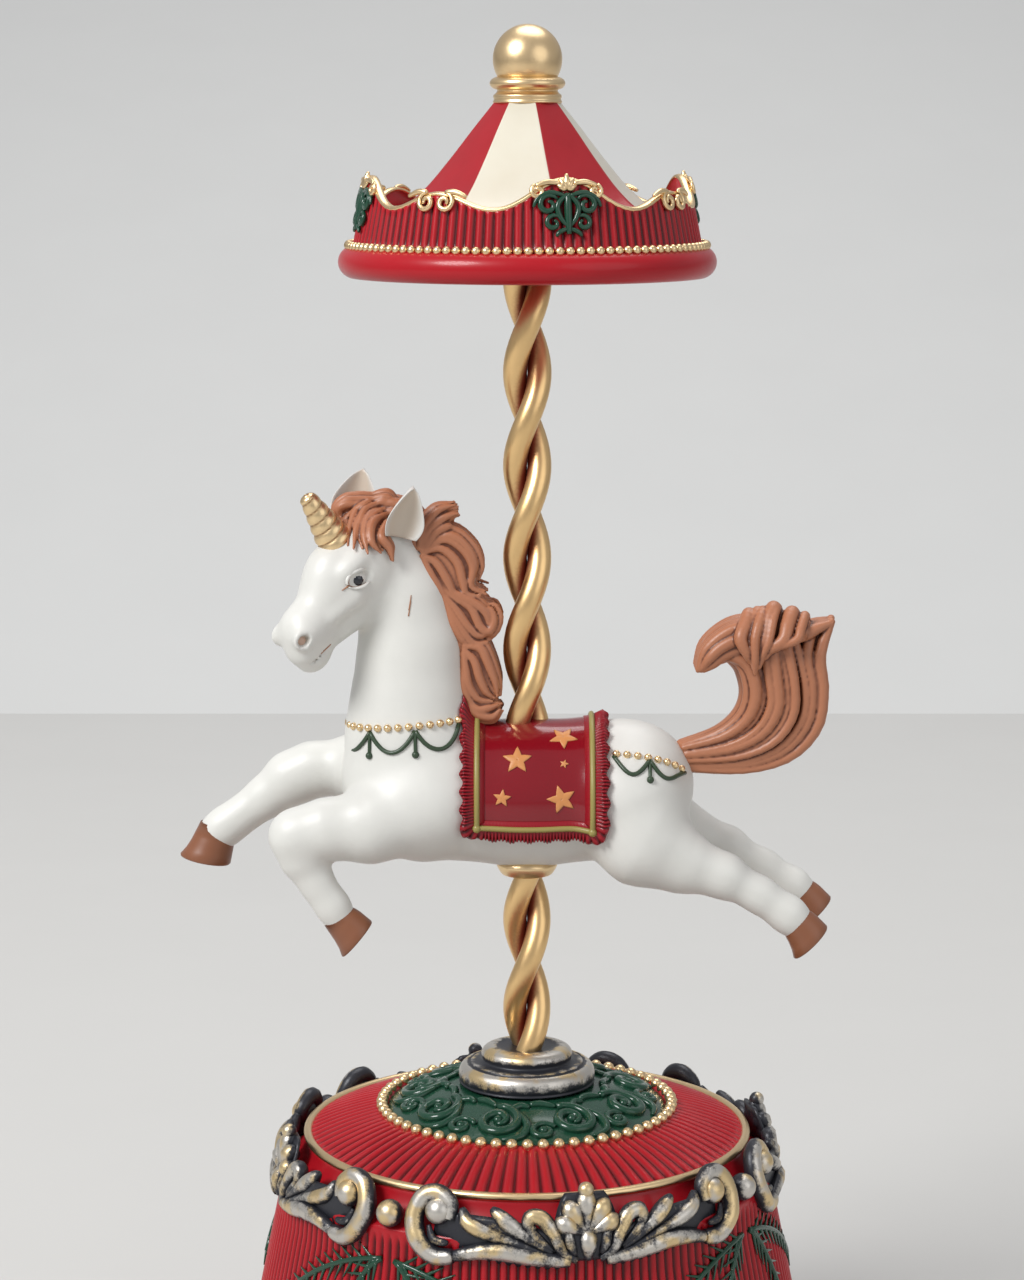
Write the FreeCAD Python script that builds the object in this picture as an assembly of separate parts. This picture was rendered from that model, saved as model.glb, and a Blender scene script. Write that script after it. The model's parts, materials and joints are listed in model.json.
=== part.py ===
import FreeCAD, Part
import math
import os

from FreeCAD import Matrix, Vector

# Carousel music box: a fluted round base with a clockwork movement inside, and a turning carousel
# of one prancing unicorn on a twisted pole under a striped canopy.
# Millimetres, +Z up, origin on the turning axis at the floor. The unicorn faces -X.

X = Vector(1, 0, 0)
Y = Vector(0, 1, 0)
Z = Vector(0, 0, 1)
ORIGIN = Vector(0, 0, 0)
TURN = 360.0

# Clearances
RUN_CLEAR = 0.05        # radial clearance of a shaft in its bearing
FIT_CLEAR = 0.1         # gap round a piece that is dropped into a recess
AIR_CLEAR = 0.3         # gap between a turning face and the face that carries it

# Base casting
BASE_HEIGHT = 62.0      # floor to the gilt ring round the dome
FOOT_RING_HEIGHT = 1.5
FOOT_RING_WIDTH = 5.0
PLINTH_RADIUS = 60.0
PLINTH_HEIGHT = 8.0
DRUM_FOOT_RADIUS = 56.8
DRUM_TOP_RADIUS = 49.0
DRUM_TOP_DROP = 14.0    # gilt ring down to the top of the fluted drum
BAND_RADIUS = 48.4      # seat of the scroll band
BAND_TOP_DROP = 7.0     # gilt ring down to the top of the scroll band's seat
GILT_RING_RADIUS = 42.9
GILT_RING_THICKNESS = 1.6
BASE_WALL = 4.5
DOME_THICKNESS = 4.0
DOME_RISE = 5.0         # gilt ring up to the bead ring
RECESS_RADIUS = 50.0    # open space under the base for the key
RECESS_DEPTH = 18.0
LEDGE_WIDTH = 2.5
SCREW_BOSS_CIRCLE = 43.5
SCREW_BOSS_RADIUS = 3.5
SCREW_BOSS_HEIGHT = 10.0
SCREW_RADIUS = 1.25
SCREW_LENGTH = 9.0
SCREW_HEAD_RADIUS = 2.4
SCREW_HEAD_HEIGHT = 1.4
COVER_SCREW_COUNT = 4

# Medallion and beads on the dome
BEAD_RING_RADIUS = 28.4
BEAD_RADIUS = 1.0
MEDALLION_RADIUS = 27.2
MEDALLION_EDGE = 1.0
MEDALLION_RISE = 4.2    # bead ring up to the hub's seat
MEDALLION_SEAT_DROP = 1.2

# Scroll band, four equal quarters
QUARTERS = 4
PALMETTE_ANGLE = -77.0  # first palmette, measured from +X towards +Y
PALMETTE_HALF_HEIGHT = 6.8
PALMETTE_HALF_WIDTH = 5.6
PALMETTE_PROUD = 3.4
CURL_RADIUS = 3.2
CURL_ANGLE = 8.6
VOLUTE_RADIUS = 5.2
VOLUTE_ANGLE = 33.6
VOLUTE_PROUD = 3.0
LEAF_HALF_LENGTH = 9.0
LEAF_HALF_HEIGHT = 2.9
LEAF_ANGLE = 21.0
LEAF_DROP = 3.2
BALL_RADIUS = 3.1

# Bottom cover and movement frame
COVER_THICKNESS = 3.0
COVER_HOLE_RADIUS = 5.0
BEDPLATE_THICKNESS = 3.0
BEDPLATE_X = (-17.0, 43.0)
BEDPLATE_Y = (-25.0, 20.0)
BEDPLATE_CORNER = 8.0
BEDPLATE_SCREW_INSET = 4.0
THRUST_BOSS_RADIUS = 5.0
THRUST_BOSS_HEIGHT = 0.5

# Winding arbor and key
ARBOR_RADIUS = 2.0
ARBOR_HUB_RADIUS = 3.0
KEY_STEM_RADIUS = 3.2
KEY_FLOOR_GAP = 2.0
KEY_GRIP_WIDTH = 24.0
KEY_GRIP_HEIGHT = 11.0
KEY_GRIP_THICKNESS = 2.2
KEY_EYE_RADIUS = 2.6
CLUTCH_WIRE_RADIUS = 0.3
CLUTCH_PITCH = 1.05
CLUTCH_TURNS = 2

# Spring barrel with crown teeth
BARREL_RADIUS = 11.0
BARREL_HEIGHT = 14.0
BARREL_WALL = 1.0
BARREL_FLOOR = 1.5
BARREL_LID = 1.2
CROWN_RADIUS = 15.4
CROWN_TEETH = 36
CROWN_TOOTH_HEIGHT = 1.5
CROWN_PITCH_RADIUS = 13.8
CROWN_FACE = 2.6
SPRING_TURNS = 6
SPRING_STRIP = 0.4
SPRING_HEIGHT = 9.0

# Gear teeth
TOOTH_SHARE = 0.38      # share of the pitch that a tooth fills
ADDENDUM = 0.85
DEDENDUM = 1.25
PINION_TEETH = 12       # cylinder pinion, driven by the crown teeth
TRAIN_MODULE = 0.4
WHEEL_TEETH = 32
LEAF_COUNT = 8          # leaves of the two small pinions
WHEEL_FACE = 1.0
LEAF_FACE = 1.4

# Pinned cylinder and comb
CYLINDER_RADIUS = 6.5
CYLINDER_START = 18.0
CYLINDER_LENGTH = 17.0
CYLINDER_ARBOR_RADIUS = 1.0
PIN_HEIGHT = 0.5
PIN_RADIUS = 0.22
PIN_COUNT = 45
PIN_TRACK_STRIDE = 7
COMB_TEETH = 18
COMB_TOOTH_SHARE = 0.68
COMB_TOOTH_LENGTH = 9.0
COMB_THICKNESS = 1.2
COMB_BACK = 6.0
COMB_GAP = 0.25
COMB_SCREW_RADIUS = 1.0

# Bearing posts and fly governor
POST_THICKNESS = 1.4
POST_HALF_WIDTH = 3.0
POST_MARGIN = 2.2
TRAIN_ARBOR_RADIUS = 0.8
WHEEL_GAP = 1.0         # gap along the arbor between neighbouring wheels
FLY_ANGLE = 40.0        # direction from the second arbor to the fly arbor
FLY_RADIUS = 4.5
FLY_LENGTH = 8.0
FLY_THICKNESS = 0.5

# Spindle and hub
SPINDLE_RADIUS = 2.0
BUSH_RADIUS = 4.0
BUSH_FLANGE_RADIUS = 6.0
BUSH_FLANGE_HEIGHT = 1.0
HUB_RADIUS = 13.3
HUB_STEP_HEIGHT = 4.2
HUB_TOP_RADIUS = 8.8
HUB_TOP_HEIGHT = 3.2
HUB_ROUND = 1.4
SPINDLE_HOLD = 2.6      # length of spindle held in the hub

# Twisted pole of two strands
STRAND_RADIUS = 2.25
STRAND_OFFSET = 2.32
POLE_PITCH = 35.4
POLE_PHASE_RISE = 16.4  # hub top up to the first place where a strand crosses the front
POLE_LENGTH = 158.8
POLE_SOCKET_DEPTH = 4.2
COLLAR_RADIUS = 5.6
COLLAR_HEIGHT = 1.8

# Canopy
CANOPY_SOCKET_DEPTH = 5.0
CANOPY_RIM_RADIUS = 35.7
CANOPY_RIM_HEIGHT = 5.6
VALANCE_FOOT_RADIUS = 33.0
VALANCE_TOP_RADIUS = 30.4
VALANCE_WALL = 1.6
VALANCE_VALLEY = 7.7    # rim top to the lowest point of the scalloped edge
VALANCE_SWELL = 5.3     # lowest point to the highest point of that edge
VALANCE_PEAK_SHARE = 0.5
VALANCE_PEAK_ANGLE = -77.0
ROOF_CROWN_RADIUS = 6.1
ROOF_CROWN_RISE = 27.2  # rim top up to the finial's seat
ROOF_KNEE_RADIUS = 19.6
ROOF_KNEE_RISE = 10.8
ROOF_EAVE_RISE = 5.0
ROOF_GORES = 12
CANOPY_BEAD_RADIUS = 0.7
CANOPY_BEAD_CIRCLE = 33.6
FINIAL_BALL_RADIUS = 6.5
FINIAL_BALL_RISE = 7.6  # finial's seat up to the ball's centre
FINIAL_COLLAR_RADIUS = 7.1
FINIAL_COLLAR_RISE = 3.2
FINIAL_COLLAR_ROUND = 1.3
FINIAL_NECK_RADIUS = 5.4
FINIAL_PEG_RADIUS = 2.5
FINIAL_PEG_LENGTH = 5.0

# Unicorn, placed by the point where the pole's axis passes the middle of its trunk.
# A station holds x, z, half width across and half height of a cross section.
UNICORN_RISE = 50.7     # hub top up to the middle of the trunk
TRUNK = (
    (34.6, 2.0, 2.6, 3.0),
    (32.0, 1.4, 8.2, 7.6),
    (25.0, 1.0, 11.6, 12.4),
    (13.0, 0.4, 12.4, 13.4),
    (0.0, -0.5, 12.8, 14.1),
    (-13.0, -0.4, 12.6, 13.9),
    (-24.0, 0.8, 11.4, 11.8),
    (-31.0, 3.0, 8.0, 8.0),
    (-34.2, 4.6, 3.0, 3.4),
)
# A neck station holds x, z, half width across and half depth front to back.
NECK = (
    (-21.0, 3.0, 9.6, 11.0),
    (-22.4, 13.0, 9.6, 11.6),
    (-22.4, 21.0, 8.0, 10.2),
    (-23.2, 29.0, 6.8, 8.7),
    (-24.6, 37.0, 6.0, 7.6),
    (-26.4, 43.0, 5.4, 6.4),
)
SKULL = Vector(-29.0, -1.0, 43.0)
MUZZLE = Vector(-44.3, -11.5, 28.2)
# A head station holds the distance from the skull's centre to the muzzle's, half width and half depth.
HEAD = (
    (-7.2, 3.4, 4.4),
    (-3.6, 6.4, 9.0),
    (2.0, 7.2, 10.0),
    (8.0, 6.5, 8.2),
    (14.0, 5.2, 6.3),
    (20.0, 4.8, 5.4),
    (25.0, 4.6, 4.9),
    (28.0, 2.4, 2.6),
)
# A leg station holds x, y, z, half depth in the leg's plane and half width across.
LEFT_FORELEG = (
    (-17.0, -7.0, -3.0, 9.0, 5.5),
    (-27.0, -8.6, -5.0, 7.6, 5.6),
    (-38.0, -9.4, -6.8, 6.0, 4.9),
    (-46.2, -9.6, -10.0, 5.2, 4.3),
    (-44.4, -9.6, -16.6, 4.4, 3.7),
    (-40.6, -9.4, -22.4, 4.0, 3.4),
    (-36.8, -9.2, -27.2, 3.5, 3.2),
)
RIGHT_FORELEG = (
    (-20.0, 7.0, 4.0, 8.0, 5.5),
    (-31.0, 8.6, 3.6, 6.4, 5.2),
    (-41.0, 9.4, 3.2, 5.2, 4.6),
    (-48.6, 9.6, 0.2, 4.7, 4.2),
    (-55.4, 9.6, -5.0, 4.3, 3.7),
    (-61.0, 9.4, -9.6, 3.7, 3.4),
)
LEFT_HINDLEG = (
    (21.0, -6.4, -1.0, 11.0, 6.2),
    (24.0, -7.8, -9.6, 9.8, 6.0),
    (30.0, -8.6, -13.4, 6.8, 5.2),
    (37.0, -9.0, -15.0, 4.7, 4.3),
    (44.6, -9.2, -19.4, 4.1, 3.7),
    (52.6, -9.2, -25.6, 3.7, 3.4),
)
RIGHT_HINDLEG = (
    (21.5, 6.4, 0.0, 11.0, 6.2),
    (25.0, 7.8, -8.0, 9.6, 6.0),
    (31.4, 8.6, -11.4, 6.6, 5.2),
    (38.6, 9.0, -13.0, 4.6, 4.3),
    (46.4, 9.2, -17.4, 4.0, 3.7),
    (54.2, 9.2, -23.4, 3.7, 3.4),
)
HOOF_HEIGHT = 4.6
HOOF_TOP = (4.4, 3.8)   # half length and half width at the coronet
HOOF_SOLE = (5.5, 4.6)
# Direction from the coronet to the sole, and from the heel to the toe, for each hoof.
HOOF_AIM = {
    "left_foreleg": (Vector(0.66, 0, -0.75), Vector(-0.75, 0, -0.66)),
    "right_foreleg": (Vector(-0.2, 0, -0.98), Vector(-0.98, 0, 0.2)),
    "left_hindleg": (Vector(0.8, 0, -0.6), Vector(-0.6, 0, -0.8)),
    "right_hindleg": (Vector(0.8, 0, -0.6), Vector(-0.6, 0, -0.8)),
}
# An ear runs from its root to its tip, with a half width and half thickness at its widest.
EAR_ROOT = {"left": Vector(-25.4, -6.6, 48.4), "right": Vector(-32.0, 2.0, 49.4)}
EAR_TIP = {"left": Vector(-22.6, -8.8, 58.2), "right": Vector(-33.4, 5.2, 60.8)}
EAR_HALF_WIDTH = 3.1
EAR_HALF_THICKNESS = 1.7
EYE_RADIUS = 1.5
EYE_ALONG = 4.6         # skull centre to the eye, along the head
EYE_RISE = 2.2
EYE_ACROSS = 6.3
HORN_ROOT = Vector(-35.4, -5.6, 48.4)
HORN_TIP = Vector(-41.8, -9.4, 57.0)
HORN_RADIUS = 3.4
HORN_TIP_RADIUS = 0.9
# Hair stations hold x, y, z, half depth in the plane and half width across.
MANE = (
    (-25.0, 1.0, 55.6, 2.6, 3.6),
    (-18.8, 1.0, 53.4, 4.6, 5.2),
    (-14.4, 0.6, 46.0, 4.8, 5.6),
    (-11.8, 0.2, 36.0, 4.6, 5.8),
    (-10.4, 0.0, 26.0, 4.0, 5.6),
    (-9.2, 0.0, 18.0, 3.4, 5.0),
)
FORELOCK = (
    (-26.0, -1.0, 53.6, 2.4, 4.0),
    (-30.0, -3.4, 54.0, 3.4, 5.2),
    (-33.6, -5.6, 51.6, 3.0, 4.6),
    (-35.6, -7.6, 47.6, 1.6, 2.6),
)
TAIL = (
    (31.0, 0.0, 6.4, 2.6, 2.8),
    (38.0, 0.0, 4.6, 4.2, 4.0),
    (46.6, 0.0, 9.6, 6.8, 5.2),
    (50.0, 0.0, 19.6, 8.4, 6.0),
    (48.8, 0.0, 29.0, 8.8, 6.2),
    (46.6, 0.0, 34.4, 5.4, 4.6),
)
TAIL_CURL = (
    (47.0, -1.0, 32.0, 4.6, 4.4),
    (40.0, -1.2, 33.4, 4.6, 4.6),
    (34.6, -1.2, 29.4, 4.0, 4.2),
    (32.6, -1.2, 25.4, 1.8, 2.4),
)
BLANKET_X = (-9.6, 12.4)
BLANKET_THICKNESS = 1.3
BLANKET_HEM_DROP = 6.4  # middle of the trunk down to the blanket's lower edge
FRINGE_WIDTH = 3.2
FRINGE_THICKNESS = 1.9

# Heights that follow from the sizes above
base_foot_z = FOOT_RING_HEIGHT
ledge_z = base_foot_z + RECESS_DEPTH + COVER_THICKNESS
cover_z = ledge_z - COVER_THICKNESS
bedplate_z = ledge_z
bedplate_top = bedplate_z + BEDPLATE_THICKNESS
barrel_z = bedplate_top + THRUST_BOSS_HEIGHT + AIR_CLEAR
crown_z = barrel_z + BARREL_FLOOR
barrel_top = barrel_z + BARREL_HEIGHT
bead_ring_z = BASE_HEIGHT + DOME_RISE
medallion_seat_z = bead_ring_z - MEDALLION_SEAT_DROP
hub_seat_z = bead_ring_z + MEDALLION_RISE
hub_z = hub_seat_z + AIR_CLEAR
hub_step_z = hub_z + HUB_STEP_HEIGHT
hub_top = hub_step_z + HUB_TOP_HEIGHT
pole_z = hub_top - POLE_SOCKET_DEPTH
pole_top = pole_z + POLE_LENGTH
pole_radius = STRAND_OFFSET + STRAND_RADIUS
pole_bore = pole_radius + RUN_CLEAR
rim_z = pole_top - CANOPY_SOCKET_DEPTH
rim_top = rim_z + CANOPY_RIM_HEIGHT
finial_z = rim_top + ROOF_CROWN_RISE
unicorn_at = Vector(0, 0, hub_top + UNICORN_RISE)

# Gear sizes that follow
crown_pitch = 2 * math.pi * CROWN_PITCH_RADIUS / CROWN_TEETH
pinion_module = crown_pitch / math.pi
pinion_radius = pinion_module * PINION_TEETH / 2
crown_pitch_z = crown_z + CROWN_TOOTH_HEIGHT / 2
wheel_radius = TRAIN_MODULE * WHEEL_TEETH / 2
leaf_radius = TRAIN_MODULE * LEAF_COUNT / 2
train_distance = wheel_radius + leaf_radius
cylinder_axis_z = crown_pitch_z + pinion_radius
second_axis = Vector(0, train_distance, cylinder_axis_z)
fly_axis = second_axis + Vector(
    0,
    train_distance * math.cos(math.radians(FLY_ANGLE)),
    train_distance * math.sin(math.radians(FLY_ANGLE)),
)
pinion_start = CROWN_PITCH_RADIUS - CROWN_FACE / 2
inner_post_x = CYLINDER_START - WHEEL_GAP / 2 - POST_THICKNESS
cylinder_end = CYLINDER_START + CYLINDER_LENGTH
great_wheel_x = cylinder_end + WHEEL_GAP / 2
second_wheel_x = great_wheel_x + WHEEL_FACE + WHEEL_GAP
outer_post_x = second_wheel_x + WHEEL_FACE + WHEEL_GAP
governor_post_x = great_wheel_x - WHEEL_GAP - POST_THICKNESS


# Shared shape makers


def polar(radius, degrees, z=0.0):
    angle = math.radians(degrees)
    return Vector(radius * math.cos(angle), radius * math.sin(angle), z)


def disc(radius, height, z, x=0.0, y=0.0):
    return Part.makeCylinder(radius, height, Vector(x, y, z))


def tube(outer, inner, height, z):
    return disc(outer, height, z).cut(disc(inner, height, z))


def rod_x(radius, start, end, at):
    """A round rod along X through a point."""
    return Part.makeCylinder(radius, end - start, Vector(start, at.y, at.z), X)


def revolve(edges):
    """A solid turned about Z from a closed outline in the XZ plane."""
    return Part.Face(Part.Wire(edges)).revolve(ORIGIN, Z, TURN)


def lines(points):
    """Straight edges through (radius, z) points, left open."""
    spots = [Vector(r, 0, z) for r, z in points]
    return [Part.makeLine(a, b) for a, b in zip(spots, spots[1:])]


def bulge(start, through, end):
    """An arc in the XZ plane through three (radius, z) points."""
    spots = [Vector(r, 0, z) for r, z in (start, through, end)]
    return Part.Arc(*spots).toShape()


def bead_ring(radius, bead, z):
    return Part.makeTorus(radius, bead, Vector(0, 0, z))


def ellipsoid(centre, half_x, half_y, half_z, turn=0.0):
    stretch = Matrix()
    stretch.scale(half_x, half_y, half_z)
    shape = Part.makeSphere(1.0).transformGeometry(stretch)
    shape.rotate(ORIGIN, Z, turn)
    shape.translate(centre)
    return shape


def oval(centre, across, along, half_across, half_along):
    """A smooth closed curve with two half widths along two directions."""
    steps = 8
    points = []
    for i in range(steps):
        angle = 2 * math.pi * i / steps
        points.append(
            centre + across * (half_across * math.cos(angle)) + along * (half_along * math.sin(angle))
        )
    curve = Part.BSplineCurve()
    curve.interpolate(points, PeriodicFlag=True)
    return Part.Wire(curve.toShape())


def limb(stations, at=ORIGIN):
    """A swelling and tapering solid through (x, y, z, half depth, half width) stations."""
    centres = [Vector(s[0], s[1], s[2]) + at for s in stations]
    sections = []
    for i, station in enumerate(stations):
        before = centres[max(i - 1, 0)]
        after = centres[min(i + 1, len(centres) - 1)]
        heading = (after - before).normalize()
        across = (Y - heading * Y.dot(heading)).normalize()
        depth = heading.cross(across)
        sections.append(oval(centres[i], across, depth, station[4], station[3]))
    return Part.makeLoft(sections, True, False)


def round_arc(start, heading, end):
    """The arc from a point, leaving along a heading, to an end point."""
    chord = end - start
    half_angle = heading.getAngle(chord)
    corner = start + heading * (chord.Length / 2 / math.cos(half_angle))
    middle = (start + end) * 0.5
    lift = (corner - middle).normalize() * (chord.Length / 2 * math.tan(half_angle / 2))
    return Part.Arc(start, middle + lift, end).toShape()


def biarc(start, start_heading, end, end_heading):
    """Two arcs that join two points with the given headings."""
    span = end - start
    both = start_heading + end_heading
    spread = 2 * (1 - start_heading.dot(end_heading))
    reach = (-span.dot(both) + math.sqrt(span.dot(both) ** 2 + spread * span.dot(span))) / spread
    joint = (start + start_heading * reach + end - end_heading * reach) * 0.5
    joint_heading = (end - end_heading * reach - start - start_heading * reach).normalize()
    return [round_arc(start, start_heading, joint), round_arc(joint, joint_heading, end)]


def helix_tube(helix_radius, wire_radius, pitch, z_start, z_end, phase):
    """A round tube along a right-handed helix about Z, made of biarcs of a quarter turn."""
    quarter = 90.0
    quarters = math.ceil((z_end - z_start) / pitch * TURN / quarter - 1e-6)

    def place(i):
        return polar(helix_radius, phase + i * quarter, z_start + i * pitch * quarter / TURN)

    def heading(i):
        run = polar(helix_radius, phase + i * quarter + quarter)
        return (run + Z * (pitch / (2 * math.pi))).normalize()

    edges = []
    for i in range(quarters):
        edges += biarc(place(i), heading(i), place(i + 1), heading(i + 1))
    section = Part.Wire(Part.makeCircle(wire_radius, place(0), heading(0)))
    return Part.Wire(edges).makePipeShell([section], True, False)


def gear(teeth, module, face, bore):
    """A spur gear on Z with a tooth towards +X: radial flanks, and tips that round in."""
    radius = module * teeth / 2
    half = TURN / teeth * TOOTH_SHARE / 2
    heights = (
        (radius - DEDENDUM * module, 1.15),
        (radius, 1.0),
        (radius + ADDENDUM * module * 0.6, 0.72),
        (radius + ADDENDUM * module, 0.3),
    )
    points = []
    for i in range(teeth):
        middle = i * TURN / teeth
        points += [polar(r, middle - half * share) for r, share in heights]
        points += [polar(r, middle + half * share) for r, share in reversed(heights)]
    outline = Part.makePolygon(points + points[:1])
    return Part.Face(outline).extrude(Z * face).cut(disc(bore, face, 0))


def on_x_axis(shape, x, at, phase):
    """Turns a shape about Z by phase, then stands it on an X axis: its +X goes to +Y, and its +Z to +X."""
    placed = shape.copy()
    placed.rotate(ORIGIN, Z, phase)
    placed.rotate(ORIGIN, Vector(1, 1, 1), 120)
    placed.translate(Vector(x, at.y, at.z))
    return placed


def group(shapes):
    return Part.makeCompound(shapes)


def screw(at, length, head_radius, shank_radius, head_height, down=True):
    """A pan-head screw whose head lies below the point, or above it."""
    way = Z if down else Z * -1
    head = Part.makeCylinder(head_radius, head_height, at - way * head_height, way)
    return head.fuse(Part.makeCylinder(shank_radius, length, at, way)).removeSplitter()


# Base


def screw_boss_spots(z):
    step = TURN / COVER_SCREW_COUNT
    return [polar(SCREW_BOSS_CIRCLE, step * (i + 0.5), z) for i in range(COVER_SCREW_COUNT)]


def base_outline():
    """The outside of the base from the floor edge of the plinth to the medallion's seat."""
    plinth_top = base_foot_z + PLINTH_HEIGHT
    round_in = PLINTH_HEIGHT / 4
    band_z = BASE_HEIGHT - BAND_TOP_DROP
    cove_r = (BAND_RADIUS + GILT_RING_RADIUS) / 2 - 0.6
    cove_z = (band_z + BASE_HEIGHT) / 2 - 0.6
    dome_r = (GILT_RING_RADIUS + BEAD_RING_RADIUS) / 2
    dome_z = BASE_HEIGHT + DOME_RISE / 2 + 0.5
    edges = [
        bulge(
            (PLINTH_RADIUS - round_in, base_foot_z),
            (PLINTH_RADIUS, base_foot_z + PLINTH_HEIGHT / 2),
            (PLINTH_RADIUS - round_in, plinth_top),
        )
    ]
    edges += lines(
        [
            (PLINTH_RADIUS - round_in, plinth_top),
            (DRUM_FOOT_RADIUS, plinth_top),
            (DRUM_TOP_RADIUS, BASE_HEIGHT - DRUM_TOP_DROP),
            (BAND_RADIUS, BASE_HEIGHT - DRUM_TOP_DROP),
            (BAND_RADIUS, band_z),
        ]
    )
    edges.append(bulge((BAND_RADIUS, band_z), (cove_r, cove_z), (GILT_RING_RADIUS, BASE_HEIGHT)))
    edges.append(
        bulge((GILT_RING_RADIUS, BASE_HEIGHT), (dome_r, dome_z), (BEAD_RING_RADIUS, bead_ring_z))
    )
    edges += lines(
        [
            (BEAD_RING_RADIUS, bead_ring_z),
            (MEDALLION_RADIUS + FIT_CLEAR, bead_ring_z),
            (MEDALLION_RADIUS + FIT_CLEAR, medallion_seat_z),
            (BUSH_RADIUS, medallion_seat_z),
        ]
    )
    return edges


def base_shell():
    """A hollow casting: recess for the key below, ledge for the cover, room for the movement above."""
    ceiling = BASE_HEIGHT - DOME_THICKNESS
    inner_top = GILT_RING_RADIUS - BASE_WALL
    shoulder = BASE_HEIGHT - DRUM_TOP_DROP
    inside = [
        (BUSH_RADIUS, medallion_seat_z),
        (BUSH_RADIUS, ceiling),
        (inner_top, ceiling),
        (BAND_RADIUS - BASE_WALL, shoulder),
        (RECESS_RADIUS - LEDGE_WIDTH, ledge_z),
        (RECESS_RADIUS, ledge_z),
        (RECESS_RADIUS, base_foot_z),
        (PLINTH_RADIUS - PLINTH_HEIGHT / 4, base_foot_z),
    ]
    shell = revolve(base_outline() + lines(inside))
    for spot in screw_boss_spots(ledge_z):
        boss = disc(SCREW_BOSS_RADIUS, SCREW_BOSS_HEIGHT, ledge_z, spot.x, spot.y)
        reach = Part.makeBox(RECESS_RADIUS - SCREW_BOSS_CIRCLE, 2 * SCREW_BOSS_RADIUS, SCREW_BOSS_HEIGHT)
        reach.translate(Vector(SCREW_BOSS_CIRCLE, -SCREW_BOSS_RADIUS, ledge_z))
        reach.rotate(ORIGIN, Z, math.degrees(math.atan2(spot.y, spot.x)))
        shell = shell.fuse(boss.fuse(reach))
    for spot in screw_boss_spots(ledge_z):
        shell = shell.cut(disc(SCREW_RADIUS, SCREW_LENGTH - COVER_THICKNESS, ledge_z, spot.x, spot.y))
    return shell.removeSplitter()


def foot_ring():
    """The soft ring under the plinth that the whole piece stands on."""
    middle = (PLINTH_RADIUS + RECESS_RADIUS) / 2 - PLINTH_HEIGHT / 8
    half = FOOT_RING_WIDTH / 2
    return tube(middle + half, middle - half, FOOT_RING_HEIGHT, 0)


def gilt_ring():
    half = GILT_RING_THICKNESS / 2
    return bead_ring(GILT_RING_RADIUS, half, BASE_HEIGHT).cut(base_shell())


def medallion():
    """A domed disc let into the top of the base, holed for the bush."""
    edge_z = medallion_seat_z + MEDALLION_EDGE
    crown_r = (MEDALLION_RADIUS + HUB_RADIUS) / 2
    crown_z_mid = (edge_z + hub_seat_z) / 2 + 0.7
    edges = lines(
        [
            (HUB_RADIUS, hub_seat_z),
            (BUSH_FLANGE_RADIUS + FIT_CLEAR, hub_seat_z),
            (BUSH_FLANGE_RADIUS + FIT_CLEAR, hub_seat_z - BUSH_FLANGE_HEIGHT),
            (BUSH_RADIUS, hub_seat_z - BUSH_FLANGE_HEIGHT),
            (BUSH_RADIUS, medallion_seat_z),
            (MEDALLION_RADIUS, medallion_seat_z),
            (MEDALLION_RADIUS, edge_z),
        ]
    )
    edges.append(bulge((MEDALLION_RADIUS, edge_z), (crown_r, crown_z_mid), (HUB_RADIUS, hub_seat_z)))
    return revolve(edges)


def medallion_beads():
    ring = bead_ring(BEAD_RING_RADIUS, BEAD_RADIUS, bead_ring_z)
    return ring.cut(base_shell()).cut(medallion())


def scroll_band():
    """Four palmettes with curls, leaves and volutes between them, and a ball where volutes meet."""
    middle_z = BASE_HEIGHT - (BAND_TOP_DROP + DRUM_TOP_DROP) / 2
    quarter = TURN / QUARTERS

    def boss(degrees, proud, half_width, half_height, rise=0.0):
        centre = polar(BAND_RADIUS, degrees, middle_z + rise)
        return ellipsoid(centre, proud, half_width, half_height, degrees)

    seat = base_shell()
    shapes = []
    for i in range(QUARTERS):
        middle = PALMETTE_ANGLE + i * quarter
        pieces = [boss(middle, PALMETTE_PROUD, PALMETTE_HALF_WIDTH, PALMETTE_HALF_HEIGHT)]
        for side in (-1, 1):
            curl = middle + side * CURL_ANGLE
            leaf = middle + side * LEAF_ANGLE
            volute = middle + side * VOLUTE_ANGLE
            pieces.append(boss(curl, CURL_RADIUS, CURL_RADIUS, CURL_RADIUS))
            pieces.append(boss(leaf, CURL_RADIUS, LEAF_HALF_LENGTH, LEAF_HALF_HEIGHT, -LEAF_DROP))
            pieces.append(boss(volute, VOLUTE_PROUD, VOLUTE_RADIUS, VOLUTE_RADIUS))
        shapes += pieces[0].fuse(pieces[1:]).cut(seat).Solids
        shapes += boss(middle + quarter / 2, BALL_RADIUS, BALL_RADIUS, BALL_RADIUS).cut(seat).Solids
    return group(shapes)


def bottom_cover():
    cover = tube(RECESS_RADIUS - FIT_CLEAR, COVER_HOLE_RADIUS, COVER_THICKNESS, cover_z)
    for spot in screw_boss_spots(cover_z):
        cover = cover.cut(disc(SCREW_RADIUS, COVER_THICKNESS, cover_z, spot.x, spot.y))
    for spot in bedplate_screw_spots(cover_z):
        cover = cover.cut(disc(SCREW_RADIUS, COVER_THICKNESS, cover_z, spot.x, spot.y))
    return cover


def cover_screws():
    spots = screw_boss_spots(cover_z)
    return group(
        [screw(s, SCREW_LENGTH, SCREW_HEAD_RADIUS, SCREW_RADIUS, SCREW_HEAD_HEIGHT) for s in spots]
    )


# Movement frame


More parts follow.
